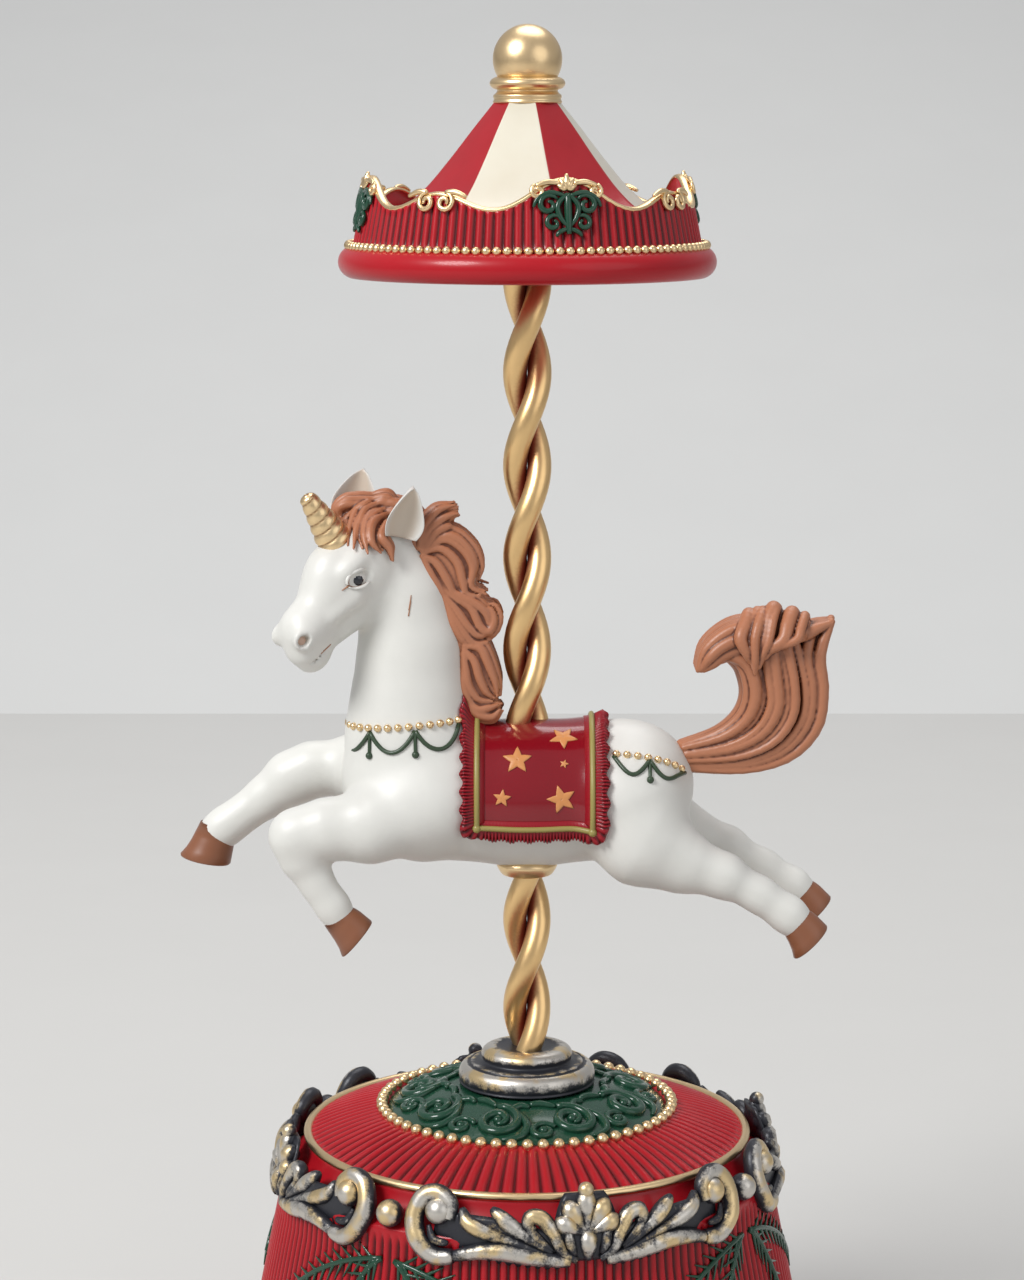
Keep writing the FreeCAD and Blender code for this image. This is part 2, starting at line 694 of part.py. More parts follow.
def bedplate_screw_spots(z):
    xs = (BEDPLATE_X[0] + BEDPLATE_SCREW_INSET, BEDPLATE_X[1] - BEDPLATE_SCREW_INSET)
    ys = (BEDPLATE_Y[0] + BEDPLATE_SCREW_INSET, BEDPLATE_Y[1] - BEDPLATE_SCREW_INSET)
    return [Vector(xs[0], ys[0], z), Vector(xs[0], ys[1], z), Vector(xs[1], ys[0], z)]


def bedplate():
    """A cast plate with a thrust boss for the barrel and a bearing for the winding arbor."""
    size_x = BEDPLATE_X[1] - BEDPLATE_X[0]
    size_y = BEDPLATE_Y[1] - BEDPLATE_Y[0]
    plate = Part.makeBox(size_x, size_y, BEDPLATE_THICKNESS, Vector(BEDPLATE_X[0], BEDPLATE_Y[0], bedplate_z))
    uprights = [e for e in plate.Edges if e.tangentAt(e.FirstParameter).cross(Z).Length < 1e-6]
    plate = plate.makeFillet(BEDPLATE_CORNER, uprights)
    plate = plate.fuse(disc(THRUST_BOSS_RADIUS, THRUST_BOSS_HEIGHT, bedplate_top)).removeSplitter()
    bore_height = BEDPLATE_THICKNESS + THRUST_BOSS_HEIGHT
    plate = plate.cut(disc(ARBOR_RADIUS + RUN_CLEAR, bore_height, bedplate_z))
    for spot in bedplate_screw_spots(bedplate_z):
        plate = plate.cut(disc(SCREW_RADIUS, BEDPLATE_THICKNESS, bedplate_z, spot.x, spot.y))
    return plate


def bedplate_screws():
    length = COVER_THICKNESS + BEDPLATE_THICKNESS
    spots = bedplate_screw_spots(cover_z)
    return group(
        [screw(s, length, SCREW_HEAD_RADIUS, SCREW_RADIUS, SCREW_HEAD_HEIGHT) for s in spots]
    )


def post(x, y_low, y_high, top, axes):
    """An upright bearing plate on the bedplate, holed for (axis, arbor radius) pairs."""
    plate = Part.makeBox(POST_THICKNESS, y_high - y_low, top - bedplate_top, Vector(x, y_low, bedplate_top))
    for axis, radius in axes:
        plate = plate.cut(rod_x(radius + RUN_CLEAR, x, x + POST_THICKNESS, axis))
    return plate


def cylinder_axis():
    return Vector(0, 0, cylinder_axis_z)


def inner_post():
    top = cylinder_axis_z + POST_MARGIN
    return post(
        inner_post_x, -POST_HALF_WIDTH, POST_HALF_WIDTH, top, [(cylinder_axis(), CYLINDER_ARBOR_RADIUS)]
    )


def outer_bridge():
    axes = [
        (cylinder_axis(), CYLINDER_ARBOR_RADIUS),
        (second_axis, TRAIN_ARBOR_RADIUS),
        (fly_axis, TRAIN_ARBOR_RADIUS),
    ]
    return post(outer_post_x, -POST_HALF_WIDTH, fly_axis.y + POST_MARGIN, fly_axis.z + POST_MARGIN, axes)


def governor_plate():
    """The inner plate of the governor, clear of the pinned cylinder."""
    low = CYLINDER_RADIUS + PIN_HEIGHT + COMB_GAP
    axes = [(fly_axis, TRAIN_ARBOR_RADIUS)]
    axes.append((second_axis, TRAIN_ARBOR_RADIUS))
    plate = post(governor_post_x, low, fly_axis.y + POST_MARGIN, fly_axis.z + POST_MARGIN, axes)
    return max(plate.Solids, key=lambda solid: solid.Volume)


def comb_seat_z():
    return cylinder_axis_z - COMB_THICKNESS / 2


def comb_edges():
    tip = -(CYLINDER_RADIUS + PIN_HEIGHT + COMB_GAP)
    root = tip - COMB_TOOTH_LENGTH
    return tip, root, root - COMB_BACK


def comb():
    """A steel comb: a back plate with one tooth for each note."""
    tip, root, back = comb_edges()
    corner = Vector(CYLINDER_START, back, comb_seat_z())
    plate = Part.makeBox(CYLINDER_LENGTH, COMB_BACK, COMB_THICKNESS, corner)
    pitch = CYLINDER_LENGTH / COMB_TEETH
    width = pitch * COMB_TOOTH_SHARE
    teeth = []
    for i in range(COMB_TEETH):
        start = CYLINDER_START + pitch * (i + 0.5) - width / 2
        teeth.append(Part.makeBox(width, tip - root, COMB_THICKNESS, Vector(start, root, comb_seat_z())))
    plate = plate.fuse(teeth).removeSplitter()
    for spot in comb_screw_spots(comb_seat_z()):
        plate = plate.cut(disc(COMB_SCREW_RADIUS, COMB_THICKNESS, spot.z, spot.x, spot.y))
    return plate


def comb_screw_spots(z):
    tip, root, back = comb_edges()
    inset = CYLINDER_LENGTH / 4
    middle = (root + back) / 2
    return [Vector(CYLINDER_START + inset, middle, z), Vector(cylinder_end - inset, middle, z)]


def comb_block():
    """The block under the comb's back, which lifts its teeth to the cylinder's axis."""
    tip, root, back = comb_edges()
    block = Part.makeBox(
        CYLINDER_LENGTH, COMB_BACK, comb_seat_z() - bedplate_top, Vector(CYLINDER_START, back, bedplate_top)
    )
    for spot in comb_screw_spots(bedplate_top):
        block = block.cut(disc(COMB_SCREW_RADIUS, block.BoundBox.ZLength, bedplate_top, spot.x, spot.y))
    return block


def comb_screws():
    top = comb_seat_z() + COMB_THICKNESS
    length = COMB_THICKNESS + (comb_seat_z() - bedplate_top) / 2
    return group(
        [
            screw(s, length, 2 * COMB_SCREW_RADIUS, COMB_SCREW_RADIUS, COMB_SCREW_RADIUS, down=False)
            for s in comb_screw_spots(top)
        ]
    )


def clutch_spring():
    """A wound wire that grips the winding arbor one way, in the cover's hole below the bedplate."""
    coil_radius = ARBOR_RADIUS + RUN_CLEAR + CLUTCH_WIRE_RADIUS
    rise = CLUTCH_TURNS * CLUTCH_PITCH
    start = bedplate_z - rise - CLUTCH_WIRE_RADIUS - RUN_CLEAR
    return helix_tube(coil_radius, CLUTCH_WIRE_RADIUS, CLUTCH_PITCH, start, start + rise, 0)


# Winding key


def winding_arbor():
    """A stepped arbor from the key up into the spring barrel."""
    foot = base_foot_z + KEY_FLOOR_GAP + KEY_GRIP_HEIGHT / 2
    hub_low = barrel_z + BARREL_FLOOR + RUN_CLEAR
    hub_high = barrel_top - BARREL_LID - RUN_CLEAR
    arbor = disc(ARBOR_RADIUS, hub_low - foot, foot)
    return arbor.fuse(disc(ARBOR_HUB_RADIUS, hub_high - hub_low, hub_low)).removeSplitter()


def winding_key():
    """A butterfly key: two rounded wings with an eye in each, on a bored stem."""
    grip_z = base_foot_z + KEY_FLOOR_GAP
    stem_top = cover_z - AIR_CLEAR
    wing_radius = KEY_GRIP_HEIGHT / 2
    half = KEY_GRIP_WIDTH / 2 - wing_radius
    corner = Vector(-half, -KEY_GRIP_THICKNESS / 2, grip_z)
    grip = Part.makeBox(2 * half, KEY_GRIP_THICKNESS, KEY_GRIP_HEIGHT, corner)
    for side in (-1, 1):
        spot = Vector(side * half, -KEY_GRIP_THICKNESS / 2, grip_z + wing_radius)
        grip = grip.fuse(Part.makeCylinder(wing_radius, KEY_GRIP_THICKNESS, spot, Y))
    for side in (-1, 1):
        spot = Vector(side * half, -KEY_GRIP_THICKNESS / 2, grip_z + wing_radius)
        grip = grip.cut(Part.makeCylinder(KEY_EYE_RADIUS, KEY_GRIP_THICKNESS, spot, Y))
    stem = disc(KEY_STEM_RADIUS, stem_top - grip_z, grip_z)
    return grip.fuse(stem).cut(winding_arbor()).removeSplitter()


# Spring barrel


def spring_barrel():
    """A drum with a flange of crown teeth, open at the top and bored for the arbor."""
    drum = disc(BARREL_RADIUS, BARREL_HEIGHT - BARREL_LID, barrel_z)
    drum = drum.fuse(disc(CROWN_RADIUS, BARREL_FLOOR, barrel_z))
    drum = drum.cut(disc(BARREL_RADIUS - BARREL_WALL, BARREL_HEIGHT, crown_z))
    drum = drum.cut(disc(ARBOR_RADIUS + RUN_CLEAR, BARREL_FLOOR, barrel_z))
    half_foot = crown_pitch * TOOTH_SHARE / 2
    half_tip = half_foot * 0.5
    low = crown_z
    high = crown_z + CROWN_TOOTH_HEIGHT
    start = CROWN_PITCH_RADIUS - CROWN_FACE / 2
    corners = [(-half_foot, low), (half_foot, low), (half_tip, high), (-half_tip, high), (-half_foot, low)]
    tooth = Part.Face(Part.makePolygon([Vector(start, y, z) for y, z in corners])).extrude(X * CROWN_FACE)
    teeth = []
    for i in range(CROWN_TEETH):
        turned = tooth.copy()
        turned.rotate(ORIGIN, Z, TURN / CROWN_TEETH * (i + 0.5))
        teeth.append(turned)
    return drum.fuse(teeth).removeSplitter()


def barrel_lid():
    return tube(BARREL_RADIUS, SPINDLE_RADIUS, BARREL_LID, barrel_top - BARREL_LID)


def mainspring():
    """A flat strip wound in half circles, each a step wider than the one before."""
    inner = ARBOR_HUB_RADIUS + AIR_CLEAR
    outer = BARREL_RADIUS - BARREL_WALL
    halves = SPRING_TURNS * 2
    step = (outer - inner - SPRING_STRIP - AIR_CLEAR) / (halves + 1)
    z = barrel_z + BARREL_FLOOR + AIR_CLEAR
    near, far = [], []
    for i in range(halves):
        side = -1 if i % 2 else 1
        centre = step if i % 2 else 0
        for grow, edges in ((0, near), (SPRING_STRIP, far)):
            r = inner + step * i + grow
            start = Vector(centre + side * r, 0, z)
            through = Vector(centre, side * r, z)
            end = Vector(centre - side * r, 0, z)
            edges.append(Part.Arc(start, through, end).toShape())
    caps = [
        Part.makeLine(far[-1].Vertexes[-1].Point, near[-1].Vertexes[-1].Point),
        Part.makeLine(near[0].Vertexes[0].Point, far[0].Vertexes[0].Point),
    ]
    outline = Part.Wire(Part.__sortEdges__(near + far + caps))
    return Part.Face(outline).extrude(Z * SPRING_HEIGHT)


# Pinned cylinder


def pinned_cylinder():
    return rod_x(CYLINDER_RADIUS, CYLINDER_START, cylinder_end, cylinder_axis()).cut(
        rod_x(CYLINDER_ARBOR_RADIUS, CYLINDER_START, cylinder_end, cylinder_axis())
    )


def cylinder_pins():
    """Short pins round the cylinder, each on the track of one comb tooth."""
    pitch = CYLINDER_LENGTH / COMB_TEETH
    pins = []
    for i in range(PIN_COUNT):
        track = i * PIN_TRACK_STRIDE % COMB_TEETH
        x = CYLINDER_START + pitch * (track + 0.5)
        angle = math.radians(TURN / PIN_COUNT * i)
        way = Vector(0, math.cos(angle), math.sin(angle))
        foot = Vector(x, 0, cylinder_axis_z) + way * CYLINDER_RADIUS
        pins.append(Part.makeCylinder(PIN_RADIUS, PIN_HEIGHT, foot, way))
    return group(pins)


def cylinder_arbor():
    return rod_x(CYLINDER_ARBOR_RADIUS, pinion_start, outer_post_x + POST_THICKNESS, cylinder_axis())


def cylinder_pinion():
    shape = gear(PINION_TEETH, pinion_module, CROWN_FACE, CYLINDER_ARBOR_RADIUS)
    return on_x_axis(shape, pinion_start, cylinder_axis(), 0)


def great_wheel():
    shape = gear(WHEEL_TEETH, TRAIN_MODULE, WHEEL_FACE, CYLINDER_ARBOR_RADIUS)
    return on_x_axis(shape, great_wheel_x, cylinder_axis(), 0)


# Governor


def second_arbor():
    return rod_x(TRAIN_ARBOR_RADIUS, governor_post_x, outer_post_x + POST_THICKNESS, second_axis)


def second_pinion():
    shape = gear(LEAF_COUNT, TRAIN_MODULE, LEAF_FACE, TRAIN_ARBOR_RADIUS)
    start = great_wheel_x - (LEAF_FACE - WHEEL_FACE) / 2
    return on_x_axis(shape, start, second_axis, 180 + TURN / LEAF_COUNT / 2)


def second_wheel():
    shape = gear(WHEEL_TEETH, TRAIN_MODULE, WHEEL_FACE, TRAIN_ARBOR_RADIUS)
    return on_x_axis(shape, second_wheel_x, second_axis, FLY_ANGLE)


def fly_arbor():
    start = governor_post_x - FLY_LENGTH - WHEEL_GAP
    return rod_x(TRAIN_ARBOR_RADIUS, start, outer_post_x + POST_THICKNESS, fly_axis)


def fly_pinion():
    shape = gear(LEAF_COUNT, TRAIN_MODULE, LEAF_FACE, TRAIN_ARBOR_RADIUS)
    start = second_wheel_x - (LEAF_FACE - WHEEL_FACE) / 2
    return on_x_axis(shape, start, fly_axis, FLY_ANGLE + 180 + TURN / LEAF_COUNT / 2)


def air_fly():
    """Two flat wings that beat the air and hold the speed down."""
    start = governor_post_x - FLY_LENGTH - WHEEL_GAP / 2
    wings = Part.makeBox(
        FLY_LENGTH,
        2 * FLY_RADIUS,
        FLY_THICKNESS,
        Vector(start, fly_axis.y - FLY_RADIUS, fly_axis.z - FLY_THICKNESS / 2),
    )
    sleeve = rod_x(TRAIN_ARBOR_RADIUS * 1.8, start, start + FLY_LENGTH, fly_axis)
    return wings.fuse(sleeve).cut(fly_arbor()).removeSplitter()


# Spindle, hub and pole


def spindle():
    """The shaft from the barrel's lid up through the base into the hub."""
    low = barrel_top - BARREL_LID
    return disc(SPINDLE_RADIUS, hub_z + SPINDLE_HOLD - low, low)


def spindle_bush():
    """A flanged bearing in the middle of the dome."""
    low = BASE_HEIGHT - DOME_THICKNESS
    body = disc(BUSH_RADIUS, hub_seat_z - low, low)
    flange = disc(BUSH_FLANGE_RADIUS, BUSH_FLANGE_HEIGHT, hub_seat_z - BUSH_FLANGE_HEIGHT)
    return body.fuse(flange).cut(disc(SPINDLE_RADIUS + RUN_CLEAR, hub_seat_z - low, low)).removeSplitter()


def hub():
    """A two-step turned foot that carries the pole."""
    low = disc(HUB_RADIUS, HUB_STEP_HEIGHT, hub_z)
    low = low.makeFillet(HUB_ROUND, [e for e in low.Edges if e.Length > HUB_RADIUS])
    high = disc(HUB_TOP_RADIUS, HUB_TOP_HEIGHT, hub_step_z)
    rim = [e for e in high.Edges if abs(e.BoundBox.ZMin - hub_top) < 1e-6 and e.BoundBox.ZLength < 1e-6]
    high = high.makeFillet(HUB_ROUND, rim)
    shape = low.fuse(high).cut(disc(SPINDLE_RADIUS, SPINDLE_HOLD, hub_z))
    return shape.cut(disc(pole_bore, POLE_SOCKET_DEPTH, pole_z)).removeSplitter()


def twisted_pole():
    """Two strands wound round each other, cut flat at both ends."""
    front = -90.0
    turn_at_foot = front - (POLE_PHASE_RISE + POLE_SOCKET_DEPTH) / POLE_PITCH * TURN
    spare = STRAND_RADIUS
    keep = disc(2 * pole_radius, POLE_LENGTH, pole_z)
    strands = []
    for half_turn in (0, 180):
        phase = turn_at_foot + half_turn - spare / POLE_PITCH * TURN
        strand = helix_tube(
            STRAND_OFFSET, STRAND_RADIUS, POLE_PITCH, pole_z - spare, pole_top + spare, phase
        )
        strands += strand.common(keep).Solids
    return group(strands)


def trunk_bottom():
    station = min(TRUNK, key=lambda s: abs(s[0]))
    return unicorn_at.z + station[1] - station[3]


def belly_collar():
    """The small flared collar round the pole under the belly."""
    low = trunk_bottom() - COLLAR_HEIGHT
    flare = Part.makeCone(pole_bore + RUN_CLEAR, COLLAR_RADIUS, COLLAR_HEIGHT, Vector(0, 0, low - RUN_CLEAR))
    seat = disc(COLLAR_RADIUS, COLLAR_HEIGHT, trunk_bottom() - RUN_CLEAR)
    return flare.fuse(seat).cut(pole_hole()).cut(trunk())


# Unicorn


def pole_hole():
    """The straight hole that the pole passes through."""
    return disc(pole_bore, POLE_LENGTH, pole_z)


def trunk():
    sections = []
    for x, z, half_width, half_height in TRUNK:
        sections.append(oval(unicorn_at + Vector(x, 0, z), Y, Z, half_width, half_height))
    return Part.makeLoft(sections, True, False).cut(pole_hole())


def neck():
    sections = []
    for x, z, half_width, half_depth in NECK:
        sections.append(oval(unicorn_at + Vector(x, 0, z), Y, X, half_width, half_depth))
    return Part.makeLoft(sections, True, False)


def head_axes():
    """Directions along the head, up from its brow, and across it towards its left side."""
    along = (MUZZLE - SKULL).normalize()
    across = along.cross(Z).normalize() * -1
    up = along.cross(across)
    return along, up if up.z > 0 else up * -1, across


def head():
    along, up, across = head_axes()
    sections = []
    for distance, half_width, half_depth in HEAD:
        sections.append(oval(unicorn_at + SKULL + along * distance, across, up, half_width, half_depth))
    return Part.makeLoft(sections, True, False)


def ear(side):
    """A leaf-shaped ear from its root to its tip."""
    root, tip = EAR_ROOT[side], EAR_TIP[side]
    shares = ((0.0, 0.62), (0.35, 1.0), (0.75, 0.62), (1.0, 0.12))
    along, up, across = head_axes()
    heading = (tip - root).normalize()
    wide = (along - heading * along.dot(heading)).normalize()
    thick = heading.cross(wide)
    sections = []
    for share, size in shares:
        centre = unicorn_at + root + (tip - root) * share
        sections.append(oval(centre, wide, thick, EAR_HALF_WIDTH * size, EAR_HALF_THICKNESS * size))
    return Part.makeLoft(sections, True, False)


def eyes():
    along, up, across = head_axes()
    middle = unicorn_at + SKULL + along * EYE_ALONG + up * EYE_RISE
    return group([Part.makeSphere(EYE_RADIUS, middle + across * (EYE_ACROSS * side)) for side in (-1, 1)])


def horn():
    root = unicorn_at + HORN_ROOT
    way = HORN_TIP - HORN_ROOT
    return Part.makeCone(HORN_RADIUS, HORN_TIP_RADIUS, way.Length, root, way)


def hoof(leg_name, leg):
    """A hoof from its coronet to its sole, set on the end of a leg."""
    down, toe = HOOF_AIM[leg_name]
    end = unicorn_at + Vector(*leg[-1][:3])
    coronet = oval(end, Y, toe, HOOF_TOP[1], HOOF_TOP[0])
    tread = end + down * HOOF_HEIGHT + toe * (HOOF_SOLE[0] - HOOF_TOP[0])
    sole = oval(tread, Y, toe, HOOF_SOLE[1], HOOF_SOLE[0])
    return Part.makeLoft([coronet, sole], True, True)


def blanket_space(border):
    """The space over the blanket's middle, widened by a border on its front, back and hem."""
    size_x = BLANKET_X[1] - BLANKET_X[0] + 2 * border
    high = 2 * max(station[3] for station in TRUNK)
    deep = 2 * max(station[2] for station in TRUNK)
    drop = BLANKET_HEM_DROP + border
    corner = unicorn_at + Vector(BLANKET_X[0] - border, -deep, -drop)
    return Part.makeBox(size_x, 2 * deep, high + drop, corner)


def blanket_wrap(thickness, border):
    """The trunk swelled by a thickness, less the trunk, within the blanket's space."""
    sections = []
    for x, z, half_width, half_height in TRUNK:
        middle = unicorn_at + Vector(x, 0, z)
        sections.append(oval(middle, Y, Z, half_width + thickness, half_height + thickness))
    swelled = Part.makeLoft(sections, True, False)
    return swelled.common(blanket_space(border)).cut(trunk()).cut(pole_hole())


def make_unicorn(parts):
    """Cuts each piece of the unicorn by the larger ones, so that they meet face to face."""
    legs = {
        "left_foreleg": LEFT_FORELEG,
        "right_foreleg": RIGHT_FORELEG,
        "left_hindleg": LEFT_HINDLEG,
        "right_hindleg": RIGHT_HINDLEG,
    }
    body = trunk()
    throat = neck().cut(body)
    skull = head().cut(throat).cut(body)
    parts["unicorn_trunk"] = body
    parts["unicorn_neck"] = throat
    parts["unicorn_head"] = skull.cut(eyes())
    parts["unicorn_eyes"] = eyes()
    hooves = []
    blanket = blanket_wrap(BLANKET_THICKNESS, 0)
    border = blanket_wrap(FRINGE_THICKNESS, FRINGE_WIDTH).cut(blanket_space(0)).cut(throat)
    for name, stations in legs.items():
        foot = hoof(name, stations)
        leg = limb(stations, unicorn_at).cut(body).cut(throat).cut(foot)
        parts[name] = max(leg.Solids, key=lambda solid: solid.Volume)
        hooves.append(foot)
    parts["hooves"] = group(hooves)
    for name in legs:
        blanket = blanket.cut(parts[name])
        border = border.cut(parts[name])
    parts["saddle_blanket"] = max(blanket.Solids, key=lambda solid: solid.Volume)
    parts["blanket_fringe"] = max(border.Solids, key=lambda solid: solid.Volume)
    parts["ears"] = group([ear(side).cut(skull).cut(throat) for side in ("left", "right")])
    spike = horn().cut(skull)
    parts["horn"] = max(spike.Solids, key=lambda solid: solid.Volume)
    crest = limb(MANE, unicorn_at)
    fringe = limb(FORELOCK, unicorn_at)
    for solid in (throat, skull, body, parts["saddle_blanket"], parts["blanket_fringe"], parts["ears"]):
        crest = crest.cut(solid)
    for solid in (throat, skull, crest, parts["ears"], parts["horn"]):
        fringe = fringe.cut(solid)
    parts["mane"] = max(crest.Solids, key=lambda solid: solid.Volume)
    parts["forelock"] = max(fringe.Solids, key=lambda solid: solid.Volume)
    plume = limb(TAIL, unicorn_at).cut(body)
    curl = limb(TAIL_CURL, unicorn_at)
    parts["tail"] = max(plume.fuse(curl).Solids, key=lambda solid: solid.Volume)
    parts["belly_collar"] = belly_collar()


# Canopy


def canopy_rim():
    """A rounded floor disc with a socket for the pole."""
    middle = rim_z + CANOPY_RIM_HEIGHT / 2
    inset = CANOPY_RIM_HEIGHT / 3
    edges = [
        bulge(
            (CANOPY_RIM_RADIUS - inset, rim_z),
            (CANOPY_RIM_RADIUS, middle),
            (CANOPY_RIM_RADIUS - inset, rim_top),
        )
    ]
    edges += lines(
        [
            (CANOPY_RIM_RADIUS - inset, rim_top),
            (0, rim_top),
            (0, rim_z),
            (CANOPY_RIM_RADIUS - inset, rim_z),
        ]
    )
    return revolve(edges).cut(disc(pole_bore, CANOPY_SOCKET_DEPTH, rim_z))


def valance_top(degrees):
    """Height of the scalloped edge over the rim: high peaks, and low ones halfway between them."""
    angle = math.radians(QUARTERS * (degrees - VALANCE_PEAK_ANGLE))
    mean = (1 + VALANCE_PEAK_SHARE) / 4
    swing = (1 - VALANCE_PEAK_SHARE) / 2
    return VALANCE_VALLEY + VALANCE_SWELL * (mean + swing * math.cos(angle) + mean * math.cos(2 * angle))


def valance():
    """A leaning ring whose upper edge is scalloped."""
    full = VALANCE_VALLEY + VALANCE_SWELL
    high = rim_top + full + VALANCE_WALL
    lean = (VALANCE_FOOT_RADIUS - VALANCE_TOP_RADIUS) / full * (full + VALANCE_WALL)
    wall = revolve(
        lines(
            [
                (VALANCE_FOOT_RADIUS, rim_top),
                (VALANCE_FOOT_RADIUS - lean, high),
                (VALANCE_FOOT_RADIUS - lean - VALANCE_WALL, high),
                (VALANCE_FOOT_RADIUS - VALANCE_WALL, rim_top),
                (VALANCE_FOOT_RADIUS, rim_top),
            ]
        )
    )
    steps = 16 * QUARTERS
    rings = []
    for radius in (VALANCE_TOP_RADIUS / 2, 2 * VALANCE_FOOT_RADIUS):
        angles = [TURN / steps * i for i in range(steps)]
        curve = Part.BSplineCurve()
        curve.interpolate([polar(radius, a, rim_top + valance_top(a)) for a in angles], PeriodicFlag=True)
        rings.append(curve.toShape())
    above = Part.makeRuledSurface(rings[0], rings[1]).extrude(Z * 2 * full)
    return wall.cut(above)


def valance_inner_radius(rise):
    full = VALANCE_VALLEY + VALANCE_SWELL
    lean = (VALANCE_FOOT_RADIUS - VALANCE_TOP_RADIUS) / full
    return VALANCE_FOOT_RADIUS - VALANCE_WALL - lean * rise


def canopy_roof():
    """A tent roof of flat gores that sweeps out to the valance, on a round foot."""
    eave = valance_inner_radius(ROOF_EAVE_RISE) - FIT_CLEAR
    foot = valance_inner_radius(0) - FIT_CLEAR
    profile = (
        (ROOF_CROWN_RADIUS, ROOF_CROWN_RISE),
        (ROOF_KNEE_RADIUS, ROOF_KNEE_RISE),
        (eave, ROOF_EAVE_RISE),
    )
    sections = []
    for radius, rise in reversed(profile):
        corners = [polar(radius, TURN / ROOF_GORES * i, rim_top + rise) for i in range(ROOF_GORES)]
        sections.append(Part.makePolygon(corners + corners[:1]))
    tent = Part.makeLoft(sections, True, True)
    base = Part.makeCone(foot, eave * math.cos(math.pi / ROOF_GORES), ROOF_EAVE_RISE, Vector(0, 0, rim_top))
    peg = disc(FINIAL_PEG_RADIUS, FINIAL_PEG_LENGTH, finial_z - FINIAL_PEG_LENGTH)
    return tent.fuse(base).cut(peg).removeSplitter()


def canopy_beads():
    ring = bead_ring(CANOPY_BEAD_CIRCLE, CANOPY_BEAD_RADIUS, rim_top)
    return ring.cut(canopy_rim()).cut(valance())


def finial():
    """A ball on a collared neck, with a peg into the roof."""
    ball_z = finial_z + FINIAL_BALL_RISE
    ball = Part.makeSphere(FINIAL_BALL_RADIUS, Vector(0, 0, ball_z))
    neck_shape = disc(FINIAL_NECK_RADIUS, FINIAL_BALL_RISE, finial_z)
    foot = Part.makeCone(ROOF_CROWN_RADIUS, FINIAL_NECK_RADIUS, FINIAL_COLLAR_RISE, Vector(0, 0, finial_z))
    collar = bead_ring(
        FINIAL_COLLAR_RADIUS - FINIAL_COLLAR_ROUND, FINIAL_COLLAR_ROUND, finial_z + FINIAL_COLLAR_RISE
    )
    peg = disc(FINIAL_PEG_RADIUS, FINIAL_PEG_LENGTH, finial_z - FINIAL_PEG_LENGTH)
    above = disc(4 * FINIAL_BALL_RADIUS, 4 * FINIAL_BALL_RADIUS, finial_z)
    return ball.common(above).fuse([neck_shape, foot, collar, peg]).removeSplitter()


def main():
    parts = {
        "base_shell": base_shell(),
        "foot_ring": foot_ring(),
        "gilt_ring": gilt_ring(),
        "medallion": medallion(),
        "medallion_beads": medallion_beads(),
        "scroll_band": scroll_band(),
        "bottom_cover": bottom_cover(),
        "cover_screws": cover_screws(),
        "bedplate": bedplate(),
        "bedplate_screws": bedplate_screws(),
        "inner_post": inner_post(),
        "outer_bridge": outer_bridge(),
        "governor_plate": governor_plate(),
        "comb": comb(),
        "comb_block": comb_block(),
        "comb_screws": comb_screws(),
        "clutch_spring": clutch_spring(),
        "spindle_bush": spindle_bush(),
        "winding_arbor": winding_arbor(),
        "winding_key": winding_key(),
        "spring_barrel": spring_barrel(),
        "barrel_lid": barrel_lid(),
        "mainspring": mainspring(),
        "pinned_cylinder": pinned_cylinder(),
        "cylinder_pins": cylinder_pins(),
        "cylinder_arbor": cylinder_arbor(),
        "cylinder_pinion": cylinder_pinion(),
        "great_wheel": great_wheel(),
        "second_arbor": second_arbor(),
        "second_pinion": second_pinion(),
        "second_wheel": second_wheel(),
        "fly_arbor": fly_arbor(),
        "fly_pinion": fly_pinion(),
        "air_fly": air_fly(),
        "spindle": spindle(),
        "hub": hub(),
        "twisted_pole": twisted_pole(),
        "canopy_rim": canopy_rim(),
        "valance": valance(),
        "canopy_roof": canopy_roof(),
        "canopy_beads": canopy_beads(),
        "finial": finial(),
    }
    make_unicorn(parts)
    os.makedirs("parts", exist_ok=True)
    for name, shape in parts.items():
        solids = len(shape.Solids)
        print(f"{name:18s} solids {solids:3d} volume {shape.Volume:10.1f} valid {shape.isValid()}")
        shape.exportStep(os.path.join("parts", name + ".step"))


main()
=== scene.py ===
import json
import math

import bpy
import numpy as np
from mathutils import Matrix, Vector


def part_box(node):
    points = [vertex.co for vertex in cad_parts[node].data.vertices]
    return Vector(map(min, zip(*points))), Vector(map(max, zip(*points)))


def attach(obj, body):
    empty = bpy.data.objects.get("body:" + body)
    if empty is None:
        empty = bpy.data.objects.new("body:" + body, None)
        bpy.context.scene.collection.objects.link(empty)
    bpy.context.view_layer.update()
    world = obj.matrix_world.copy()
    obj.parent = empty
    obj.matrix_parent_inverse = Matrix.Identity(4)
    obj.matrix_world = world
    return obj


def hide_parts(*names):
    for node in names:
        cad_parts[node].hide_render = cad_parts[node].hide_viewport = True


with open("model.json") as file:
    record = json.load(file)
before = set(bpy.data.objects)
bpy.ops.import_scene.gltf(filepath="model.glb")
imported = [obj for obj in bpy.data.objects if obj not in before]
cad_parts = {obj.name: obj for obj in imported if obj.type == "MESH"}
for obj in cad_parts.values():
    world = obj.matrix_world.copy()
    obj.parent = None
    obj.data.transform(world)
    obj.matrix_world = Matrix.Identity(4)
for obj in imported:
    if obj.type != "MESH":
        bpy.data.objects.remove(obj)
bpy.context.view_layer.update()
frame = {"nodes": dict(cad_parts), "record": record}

# A carousel music box: a white unicorn on a twisted gilt pole, a striped canopy above, and a fluted
# red base below. Shapes are worked out in millimetres in the model's frame and stored in metres.

MM = 0.001
TAU = 2 * np.pi


